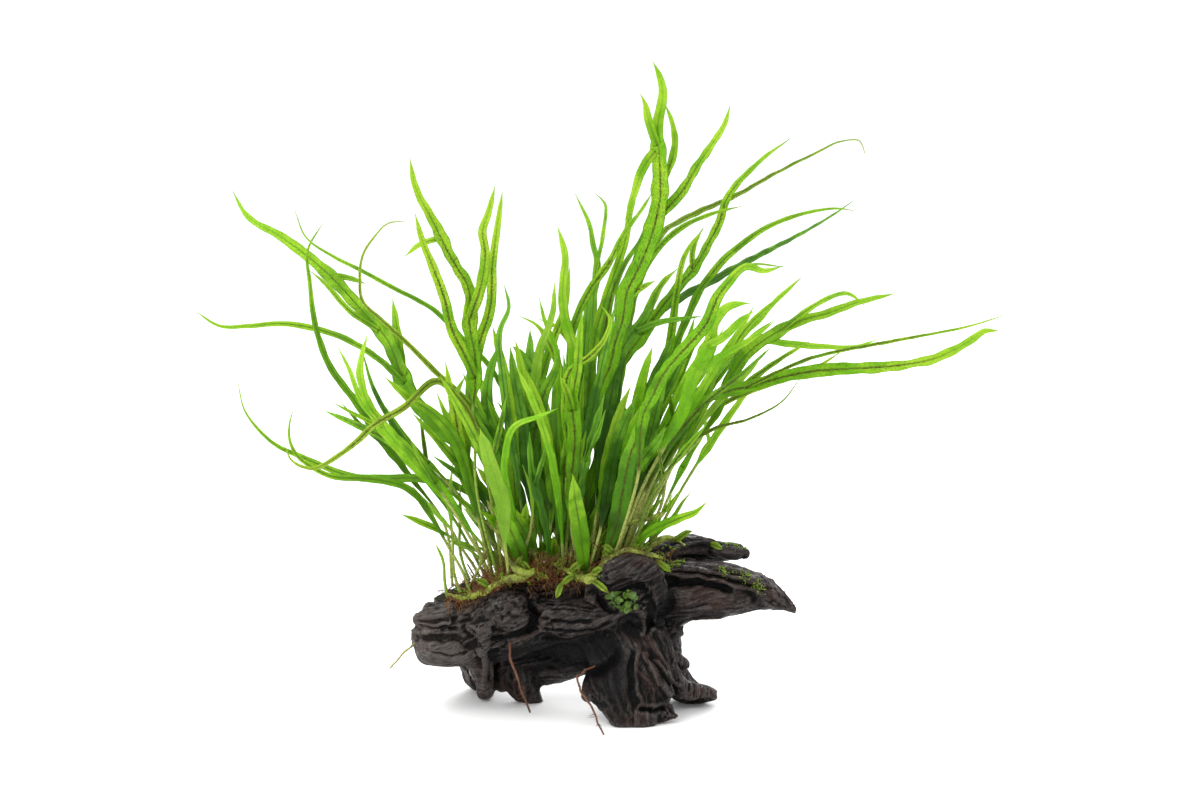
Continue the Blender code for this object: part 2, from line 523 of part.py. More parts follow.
def build_leaflets():
    """A round of small lens-shaped leaves about a core, joined in one body."""
    middle = spot(*LEAFLETS)
    core = bmesh.new()
    bmesh.ops.create_icosphere(core, subdivisions=1, radius=LEAFLET_CORE * MM)
    bmesh.ops.translate(core, verts=core.verts, vec=middle * MM)
    body = bpy.data.meshes.new("core")
    core.to_mesh(body)
    core.free()
    leaves = []
    for k in range(LEAFLET_COUNT):
        turn = 2 * pi * k / (LEAFLET_COUNT - 1)
        ring = LEAFLET_RING if k < LEAFLET_COUNT - 1 else 0.0
        centre = middle + np.array((ring * cos(turn), -LEAFLET_FORWARD[k % 2], ring * sin(turn)))
        leaf = bmesh.new()
        bmesh.ops.create_uvsphere(leaf, u_segments=6, v_segments=4, radius=LEAFLET_RADIUS * MM)
        bmesh.ops.scale(leaf, verts=leaf.verts, vec=(1.0, 1.0, LEAFLET_FLATNESS))
        aside = LEAFLET_LEAN if ring else 0.0
        lean = Vector((aside * cos(turn), -1.0, aside * sin(turn) if ring else 0.2))
        bmesh.ops.rotate(leaf, verts=leaf.verts,
                         matrix=lean.to_track_quat("Z", "Y").to_matrix())
        bmesh.ops.translate(leaf, verts=leaf.verts, vec=centre * MM)
        mesh = bpy.data.meshes.new("leaf")
        leaf.to_mesh(mesh)
        leaf.free()
        leaves.append(mesh)
    body = combine("leaflet_cluster", body, leaves, "UNION")
    body = combine("leaflet_cluster", body, wood_cutters([TRUNK, *LIMBS]), "DIFFERENCE")
    new_object("leaflet_cluster", body, "frond")


def blade(share, tail):
    """Width of a blade at a share of its length: a strap with tail 0, drawn out thin with tail 1."""
    bow = np.sin(pi * np.clip(share, 0.0, 1.0) ** (STRAP_POWERS[0] - TAIL_POWERS[0] * tail))
    return np.maximum(bow, 0.0) ** (STRAP_POWERS[1] + TAIL_POWERS[1] * tail)


def strand(route):
    """Samples of a drawn route, with each one's distance from its start."""
    length = np.linalg.norm(np.diff(np.array(route, float), axis=0), axis=1).sum()
    rows = curve(route, max(int(length / SAMPLE_STEP) + 1, 6))
    steps = np.linalg.norm(np.diff(rows, axis=0), axis=1)
    return rows, np.concatenate(([0.0], np.cumsum(steps)))


def draw_frond(frond, base_depth):
    """The strands of a frond, stalk first and then its lobes, each a dict of sample arrays."""
    rows, along = strand(frond.route)
    share = along / along[-1]
    depth = base_depth + (frond.depth - base_depth) * share ** DEPTH_CURVE
    leaf = np.clip((share - frond.stem) / (1 - frond.stem), 0.0, 1.0)
    least = np.where(leaf > 0.5, TIP_HALF_WIDTH, STALK_RADIUS)
    half = np.maximum(frond.width / 2 * blade(leaf, frond.tail), least)
    thick = np.where(leaf > 0, BLADE_HALF_THICKNESS, STALK_RADIUS)
    strands = [dict(rows=rows, along=along, depth=depth, half=half, thick=thick)]
    for number, lobe in enumerate(frond.lobes):
        rows_l, along_l = strand(lobe.route)
        near = np.argmin(np.linalg.norm(rows - rows_l[0], axis=1))
        share = along_l / along_l[-1]
        rise = LOBE_RISE * along_l[-1] * (1 if number % 2 else -1)
        drift = np.gradient(depth, along)[near] * along_l
        bow = blade(LOBE_START + (1 - LOBE_START) * share, LOBE_TAIL)
        half_l = np.maximum(lobe.width / 2 * bow, TIP_HALF_WIDTH)
        strands.append(dict(rows=rows_l, along=along_l + along[near],
                            depth=depth[near] + drift + rise * share, half=half_l,
                            thick=np.full(len(rows_l), BLADE_HALF_THICKNESS)))
    return strands


def settle(plants):
    """Shifts the fronds in depth until none comes near another.

    Fronds keep the order of their depths. Every sample of a frond that is the same distance from its
    base shifts alike, so lobes stay on their blade, and the base stays where it is.
    """
    samples, owner, bins = [], [], []
    for k, (_, strands) in enumerate(plants):
        for s in strands:
            lean = abs(sin(radians(plants[k][0].roll)))
            slope = np.abs(np.gradient(s["depth"], s["along"]))
            samples.append(np.column_stack((s["rows"], s["depth"], s["half"], s["thick"]
                                            + s["half"] * lean + slope * SAMPLE_STEP / 2)))
            owner += [k] * len(s["rows"])
            bins += list(np.rint(s["along"] / SAMPLE_STEP).astype(int))
    samples, owner, bins = np.vstack(samples), np.array(owner), np.array(bins)
    apart = np.hypot(*(samples[:, None, c] - samples[None, :, c] for c in (0, 1)))
    near = apart < samples[:, None, 3] + samples[None, :, 3] + FROND_CLEARANCE
    near &= owner[:, None] < owner[None, :]
    front, back = np.nonzero(near)
    need = samples[front, 4] + samples[back, 4] + FROND_CLEARANCE
    shift = np.zeros((len(plants), bins.max() + 2))
    free = np.clip(np.arange(shift.shape[1]) / FOOT_SAMPLES, 0.0, 1.0)
    for _ in range(SETTLE_ROUNDS):
        depth = samples[:, 2] + shift[owner, bins]
        lack = np.maximum(need - (depth[back] - depth[front]), 0.0) / 2
        ahead, behind = np.zeros_like(shift), np.zeros_like(shift)
        np.maximum.at(ahead, (owner[front], bins[front]), lack)
        np.maximum.at(behind, (owner[back], bins[back]), lack)
        shift += SETTLE_PACE * (behind - ahead) * free
        middle = (shift[:, :-2] + 2 * shift[:, 1:-1] + shift[:, 2:]) / 4
        shift[:, 1:-1] = np.where(free[1:-1] > 0, middle, 0.0)
        shift[:, 0] = 0.0
    for k, (_, strands) in enumerate(plants):
        for s in strands:
            s["depth"] = s["depth"] + np.interp(s["along"] / SAMPLE_STEP,
                                                np.arange(shift.shape[1]), shift[k])


def ribbon(s, roll, seat=None):
    """The mesh of one strand: rings of four corners, two edges and two ridges."""
    count = max(int((s["along"][-1] - s["along"][0]) / RING_STEP) + 2, 4)
    at = np.linspace(s["along"][0], s["along"][-1], count)
    read = [np.interp(at, s["along"], v) for v in (*s["rows"].T, s["depth"], s["half"], s["thick"])]
    middle = spot(*read[:3])
    if seat is not None:
        fade = np.clip(1 - (at - at[0]) / SEAT_LENGTH, 0.0, 1.0)
        middle = middle + (seat - middle[0]) * fade[:, None]
    forward = unit(np.gradient(middle, axis=0))
    across = unit(np.cross(forward, FACING))
    for k in range(1, count):
        across[k] *= 1.0 if across[k] @ across[k - 1] > 0 else -1.0
    facing = np.cross(across, forward)
    turn = radians(roll)
    edge = (cos(turn) * across + sin(turn) * facing) * read[3][:, None]
    ridge = (cos(turn) * facing - sin(turn) * across) * read[4][:, None]
    rings = np.stack((middle + edge, middle + ridge, middle - edge, middle - ridge), axis=1)
    return rings_mesh("strand", rings)


def build_fronds():
    """All fronds, seated on the root cushion and the creeping stems."""
    ordered = sorted(FRONDS, key=lambda f: f.depth)
    low, high = BASE_DEPTHS
    plants = []
    for rank, frond in enumerate(ordered):
        base = low + (high - low) * rank / (len(ordered) - 1)
        plants.append((frond, draw_frond(frond, base)))
    settle(plants)
    view = bpy.context.evaluated_depsgraph_get()
    grounds = [BVHTree.FromObject(bpy.data.objects[n], view)
               for n in (MAT.name, RHIZOMES[0].name, RHIZOMES[1].name, TRUNK.name)]
    for frond, strands in plants:
        first = spot(*strands[0]["rows"][0], strands[0]["depth"][0])
        above = Vector((first[0] * MM, first[1] * MM, 0.0)) + ABOVE_ALL
        hits = [ground.ray_cast(above, Vector((0, 0, -1)))[0] for ground in grounds]
        top = max(hit.z for hit in hits if hit) / MM
        seat = np.array((first[0], first[1], top + GAP + STALK_RADIUS))
        body = ribbon(strands[0], frond.roll, seat)
        lobes = [ribbon(s, frond.roll) for s in strands[1:]]
        if lobes:
            body = combine(frond.name, body, lobes, "UNION")
        new_object(frond.name, body, "frond")


def stand_over_origin():
    """Moves every piece so that the whole stands over the origin."""
    step = Matrix.Translation((-CENTRE[0] * MM, -CENTRE[1] * MM, 0.0))
    for piece in bpy.data.objects:
        piece.data.transform(step)


def main():
    """Builds the wood, the root cushion and what grows from it."""
    for item in list(bpy.data.objects):
        bpy.data.objects.remove(item)
    wood = build_wood()
    build_base(wood)
    build_leaflets()
    build_fronds()
    stand_over_origin()


main()
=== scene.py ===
"""Looks of a java fern grown on a piece of driftwood.

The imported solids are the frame: each frond, the wood, the root cushion and the small parts are built
again here as fine surfaces in the same places. Shapes are worked out in millimetres as whole arrays,
and meshes are in metres, with +Z up and the front towards -Y.
"""

import logging
from dataclasses import dataclass, field, replace
from enum import Enum
from math import cos, pi, radians, sin

import bpy
import numpy as np
from bpy.types import ID, Material, Mesh, Node, NodeSocket, NodeTree, Object
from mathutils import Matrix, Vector
from mathutils.bvhtree import BVHTree


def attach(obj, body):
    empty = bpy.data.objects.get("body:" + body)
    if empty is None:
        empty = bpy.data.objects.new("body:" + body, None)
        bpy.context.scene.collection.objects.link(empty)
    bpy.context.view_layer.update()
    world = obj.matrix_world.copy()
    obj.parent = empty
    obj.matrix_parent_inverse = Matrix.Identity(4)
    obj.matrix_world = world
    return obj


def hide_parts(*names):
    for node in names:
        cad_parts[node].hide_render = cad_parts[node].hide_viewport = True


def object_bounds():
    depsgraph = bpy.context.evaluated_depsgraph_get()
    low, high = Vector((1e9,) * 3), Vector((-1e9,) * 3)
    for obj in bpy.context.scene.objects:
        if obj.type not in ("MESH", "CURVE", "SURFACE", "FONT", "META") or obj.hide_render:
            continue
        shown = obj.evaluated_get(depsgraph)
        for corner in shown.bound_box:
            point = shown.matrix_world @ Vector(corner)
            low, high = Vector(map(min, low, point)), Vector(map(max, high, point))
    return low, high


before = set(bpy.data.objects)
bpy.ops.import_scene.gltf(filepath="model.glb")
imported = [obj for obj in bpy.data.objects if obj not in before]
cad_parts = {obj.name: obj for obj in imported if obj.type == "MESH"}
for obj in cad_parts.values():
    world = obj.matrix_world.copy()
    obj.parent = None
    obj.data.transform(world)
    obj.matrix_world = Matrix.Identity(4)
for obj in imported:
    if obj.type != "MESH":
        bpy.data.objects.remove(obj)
cad_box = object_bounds()

Array = np.ndarray
Pair = tuple[float, float]
Triple = tuple[float, float, float]
Colour = Triple
Pairs = tuple[Pair, ...]
Rows = tuple[tuple[float, ...], ...]
MM = 0.001
LOG = logging.getLogger("fern")


@dataclass(frozen=True)
class FrontDrawing:
    """The front drawing: how far away its eye is, its tilt down, and its middle's height.

    The eye and the middle are those from before the whole is moved over the origin.
    """

    eye_distance: float = 1200.0
    tilt: float = radians(8.0)
    middle_up: float = 130.4
    middle_height: float = 126.6
    centre: Pair = (-4.78, 1.84)

    def middle(self) -> Array:
        """The drawing's middle, in mm."""
        return np.array((0.0, 0.0, self.middle_height))

    def back(self) -> Array:
        """The way from the middle to the eye."""
        return np.array((0.0, -cos(self.tilt), sin(self.tilt)))

    def look_up(self) -> Array:
        """The way that is up in the drawing."""
        return np.array((0.0, sin(self.tilt), cos(self.tilt)))

    def eye(self) -> Array:
        """The eye's place, in mm."""
        return self.middle() + self.eye_distance * self.back()

    def shift(self) -> Array:
        """How far the whole is moved to stand over the origin, in mm."""
        return np.array((*self.centre, 0.0))

    def place(self, right: Array, up: Array, depth: Array) -> Array:
        """World places of drawn points: the drawn point, slid along its sight line to its depth.

        Args:
            right: mm to the right of the drawing's middle.
            up: mm up from the tip of the front foot.
            depth: mm away from the front.

        Returns:
            The places in mm.
        """
        right, up, depth = np.broadcast_arrays(*(np.asarray(v, float) for v in (right, up, depth)))
        drawn = self.middle() + stacked(right, 0.0, 0.0)
        drawn = drawn + (up - self.middle_up)[..., None] * self.look_up()
        eye = self.eye()
        share = (depth - eye[1]) / (drawn[..., 1] - eye[1])
        return eye + (drawn - eye) * share[..., None] - self.shift()

    def drawn(self, places: Array) -> tuple[Array, Array, Array]:
        """How far right and up each world place is seen in the drawing, and its depth.

        A place is carried along its sight line to the drawing's plane, and measured there.

        Args:
            places: places in mm.

        Returns:
            Right, up and depth, in mm.
        """
        real = places + self.shift()
        eye = self.eye()
        share = self.eye_distance / ((eye - real) @ self.back())
        seen = eye + (real - eye) * share[..., None]
        above = (seen - self.middle()) @ self.look_up()
        return seen[..., 0], above + self.middle_up, real[..., 1]


DRAWING = FrontDrawing()


@dataclass(frozen=True)
class Limb:
    """A limb or root: rows of right, up, depth, half height and half depth, in mm, and a web's rows."""

    name: str
    route: Rows
    web: Rows = ()


@dataclass(frozen=True)
class LobeShape:
    """A lobe of a frond: its width and the drawn points of its middle line, in mm."""

    width: float
    route: Pairs


@dataclass(frozen=True)
class FrondShape:
    """A frond: depth of its tip, width, how early it thins, its stalk's share of it, roll in degrees."""

    name: str
    depth: float
    width: float
    tail: float
    stem: float
    roll: float
    route: Pairs
    lobes: tuple[LobeShape, ...] = ()


@dataclass(frozen=True)
class Crease:
    """A ridge or groove of the wood's front: its drawn line, half width, height, and how deep it goes."""

    line: Pairs
    reach: float
    height: float
    deepest: float = 12.0
    fade: float = 8.0


def table(text: str, size: int) -> list[tuple[list[str], Rows]]:
    """Reads a table: the words before a line's colon, and rows of numbers after it.

    Args:
        text: the table; a line without a colon carries on the one above.
        size: numbers in a row.

    Returns:
        Each entry's words and rows.
    """
    entries = []
    for line in text.strip().splitlines():
        words, colon, numbers = line.rpartition(":")
        if colon:
            entries.append((words.split(), []))
        entries[-1][1].extend(map(float, numbers.split()))
    return [(words, tuple(zip(*[iter(numbers)] * size))) for words, numbers in entries]


def limb_list(text: str) -> tuple[Limb, ...]:
    """Reads limbs from a table.

    Args:
        text: names with rows of five numbers; a web's rows stand below its limb.

    Returns:
        The limbs, in the table's order.
    """
    limbs = []
    for (name, *_), rows in table(text, 5):
        if name == "web":
            limbs[-1] = replace(limbs[-1], web=rows)
        else:
            limbs.append(Limb(name, rows))
    return tuple(limbs)


def frond_list(text: str, kind: str = "") -> tuple[FrondShape, ...]:
    """Reads fronds from a table.

    Args:
        text: names, values and routes; the widths and routes of a frond's lobes stand below it.
        kind: what goes before each name.

    Returns:
        The fronds, in the table's order.
    """
    fronds = []
    for (first, *values), route in table(text, 2):
        if values:
            fronds.append(FrondShape(kind + first, *map(float, values), route))
        else:
            lobe = LobeShape(float(first), route)
            fronds[-1] = replace(fronds[-1], lobes=(*fronds[-1].lobes, lobe))
    return tuple(fronds)


TRUNK, *LIMBS = limb_list("""
wood_trunk: -74.5 38 4 5 6 -72 38 4 8.5 10 -64 36.6 4 12 14 -52 38 3 13 17 -34 41 1 13.5 19 -10 45 0 16 21 14
  48 0 15.5 20 30 52 1 11.5 15 40 54 1 8 10
wood_left_foot: -44 40 8 11 10 -48 32 15 10 9 -48 25 25 7.5 8 -47 19 35 5.5 6 -46 12 42 4.2 5 -45.5 1 46 3.4 4
wood_middle_foot: -31 24 10 8 7 -29.5 15 12 6.5 6 -27 9.5 13.5 4.5 5 -25.5 5 14 3.4 4 -25 -4 14 2.6 3.6
 web: -50 29 15 8 8 -42 27.5 14 12.5 9 -30 28 11 13 10 -18 31 7 13 11 -6 33 0 13 12 3 34 -4 10 10
wood_front_foot: 2 45 -2 15 13 6 34 -8 16 13 10 22 -15 19 12 13 12 -20 17 10 13 5 -24 12 8 12 -6 -26 7 5.5
wood_right_foot: 20 46 4 11 12 22 35 6 10 12 26 24 10 8 10 33 16 13 6 8 39 10 15 4.5 6 43 -4 16 3.6 4.6
wood_right_branch: 18 53 -1 11 12 34 54 -3 11.5 14 50 55 -5 10.5 13 62 53.5 -6 8 10 72 49.5 -7 4 5.5 78.5 45.5
  -7 .8 1.2
wood_upper_branch: 12 58 6 9 11 26 66 9 8.5 10 38 71 12 6 8 50 70 14 3.6 5 57 70 15 1.8 2.4
""")
MAT, *stems_and_roots = limb_list("""
root_mat: -66 50 4 2 4 -58 50.5 5 5 8 -44 54 5 6.5 11 -28 57 5 7.5 13 -10 60 5 7.5 13.5 4 63 5 6.5 13 16 66 4
  5 10 22 67 2 2 5
rhizome_left: -62 53 -7 .8 .8 -55 51.5 -12 1.2 1.2 -46 54 -17 1.4 1.4 -38.5 58.5 -19.5 1.5 1.5 -33 59.4 -21.3
  1.9 1.9 -27.5 61 -19.5 1.3 1.3
rhizome_right: -18 65 -13 1 1 -12 61.5 -16.5 1.4 1.4 -7.5 59.2 -21 1.5 1.5 -3 60 -22.6 1.9 1.9 3 66.5 -22 1.4
  1.4 11 70.5 -20.5 1.4 1.4 18 69 -19 1.3 1.3 25 67 -16 1 1
hanging_root: -36 36 -14 .6 .6 -36 31 -20 .6 .6 -34 22 -20 .6 .6 -31 13 -16 .5 .5 -28 5.5 -9 .5 .5
floor_root: -2 24 -22 .5 .5 -9 20 -33 .5 .5 -5 10 -39 .5 .5 -1 2 -43 .45 .45 1.5 -3.4 -47 .4 .4
left_root: -68 36 0 .5 .5 -75 32 -4 .5 .5 -79 29 -6 .45 .45 -84 23 -7 .4 .4
""")
RHIZOMES, ROOTS = stems_and_roots[:2], stems_and_roots[2:]
SPLINTERS = limb_list("""
spur_high: 26 39 -8 4.5 5 30 37.5 -8 3 3.4 33.6 36.5 -8 .9 1.1
spur_tip: 29 37 -9 2 2 32 38.6 -9 1.2 1.4 33.4 40.4 -9 .4 .6
spur_low: 24 28 -9 4.5 5 30 27 -8 3 3 34.6 24 -7 .9 1
spur_hook: 28 24 -9 3 3 31.5 21.5 -8 1.8 2 34 21.4 -8 .6 .8
left_knob: -60 43 -6 6 7 -67 46 -7 3.8 4 -70 48 -7 1.8 2.2
left_step: -64 40 -8 6 5 -70 42 -9 4 4 -74.4 43 -9 1.6 2
toe: 34 15 12 5 6 41 12.5 9 3.4 4.5 46.5 12.4 6 1.8 2.4
heel: -44 29 22 6 7 -49 24 24 5 5 -52 20 26 2.5 3
scrap: 16 14 -19 6 6 22 7 -22 5 5 28 4.4 -24 3 3.5 31 3.4 -25 1 1.4
wing: 22 40 -12 5 6 25 30 -15 4.5 5 28 20 -14 4 4 34 14.6 -8 3 4 41 14.5 0 2.4 3.4 46 12.4 4 1.4 2
facet: 14 30 -20 4 3 19 22 -24 6.5 3 23 15 -26 7 2.6 26 10 -26 5 2
hump: -2 50 -17 5 5 3 59 -19 6 6 12 63.5 -19 6 6 21 60 -17 5 6 24 50 -16 4 5 23 42 -15 3 4
low_lobe: -70 32 -6 5 6 -62 30 -11 6 6 -54 29 -12 5 5 -48 24 -6 3.6 4 -46 17 6 3.6 5 -46 14 20 3.4 5 -46 11 34
  3.4 5
burl_root: -47 42 -15 7 5 -46 34 -14 4.4 5 -45 26 -8 3 4 -44.5 18 2 2.6 4
roll: -28 44 -16 5 4 -16 42 -20 6 4 -2 41 -20 6 4 8 45 -19 5 4 15 50 -18 4 4
branch_crest: 18 62 -8 4 5 34 61 -11 3.4 4 50 59 -12 3 4 64 54.4 -10 2.2 3 70 49.8 -9 1.1 2
upper_hook: 46 70.5 10 3.4 5 53 69.4 8 2.6 3.5 59 68.8 7 1.2 1.6
""")
STEM_ENDS = limb_list("""
knee: -26.5 62 -20 1 1 -28.5 61.4 -22 1.5 1.5 -32.5 62 -22.5 1.4 1.4 -36.4 66 -21.5 1.15 1.15 -39.6 74 -20 1 1
  -44.6 89 -17 .8 .8 -45.6 90.6 -16 .3 .3
tip: 3 74 -8 .8 .8 12.8 81.5 -12 .9 .9 20 83.2 -12 .8 .8 24.4 84.6 -12 1.1 1.1 26.2 85.2 -12 .5 .5
low_tip: -8 60.5 -23 1 1 -4.5 58.6 -25 1.7 1.4 -2.4 58.8 -25.4 1.2 1 -1.4 59.4 -25.4 .4 .4
back_end: 18 69 -8 1 1 22 73.2 -5 1.4 1.4 27 75.2 -3 1.5 1.5 31 74.4 -2 1.1 1.1 34 72.4 -1 .4 .4
old_end: -52 56 -12 .6 .6 -47.6 65 -14 .9 .9 -45.6 69.6 -15 1.1 1.1 -44.8 70.8 -15 .4 .4
""")
CREASES = tuple(Crease(line, *map(float, values)) for values, line in table("""
1.7 1.5: -52 40 -46 37.5 -38 37 -30 40 -28 45
1.6 -2.6: -46 36 -38 34 -28 38 -26 46 -29 53
1.5 -1.8: -53 47 -53.5 40 -50 36
.9 -1.4: -74 42.5 -66 42 -56 43
.8 -1.5: -75 39.6 -66 39 -56 39.6
.8 1: -74 37.8 -64 37.6 -55 38
.9 -1.6: -73 35.2 -64 35 -54 36
.8 -1: -70 30.6 -60 28 -52 29
1.3 1.6 40: -49 33 -46.5 27 -46 20 -46.5 14
1.6 -2.2 40: -43 31 -42 24 -43.6 16
.9 -1.8: -26 39 -14 37 -2 38 6 42
.8 -1.4: -24 42.6 -12 41.4 -2 42
.9 -1.6: -24 35.4 -12 33.4 -4 35
1 -1.5: -22 46.6 -12 47.5 -2 46
1.4 -2.4: -12 52 -4 55 0 50 4 46 9 46
.9 1.6: 15.5 31 14.6 22 14.8 14 17 7
1.4 -1.6: 13.4 33 12.4 22 12.6 12 14.4 5
.8 1.3: 17 31 20 24 24 17 30 9.4
.9 -1.8: 19 31.6 23 24.6 27 18 31.4 12
.8 1.2: 22 32 26 25 29 18 34 13.6
1 1.2: 15.4 8.8 22 8.4 30 9.2
1 -2.4: 15 7 22 6.2 30 7
1.2 -.8: 4 34 5.6 24 8 14 11 4
1 -.7: 0 26 2 17 5 8
1.2 1.4: 20.6 57 22.4 49 21.6 41 19 34
1 1.2: 17.4 47 17.6 41 17 36
1 -2.6: 24 62.6 34 62 46 60.4 58 57.4 66 54
.9 -1.7: 26 65 38 64.6 50 62.6 60 60
.7 1.3: 24 60.6 34 60 46 58.4 58 55.6 67 52
1.8 -3.4: 24 58 34 57.4 46 56.4 54 55
.9 -1.8: 30 68 42 67 52 65
1.3 -1.2: 58 55.6 61 52 62 49
""", 2))
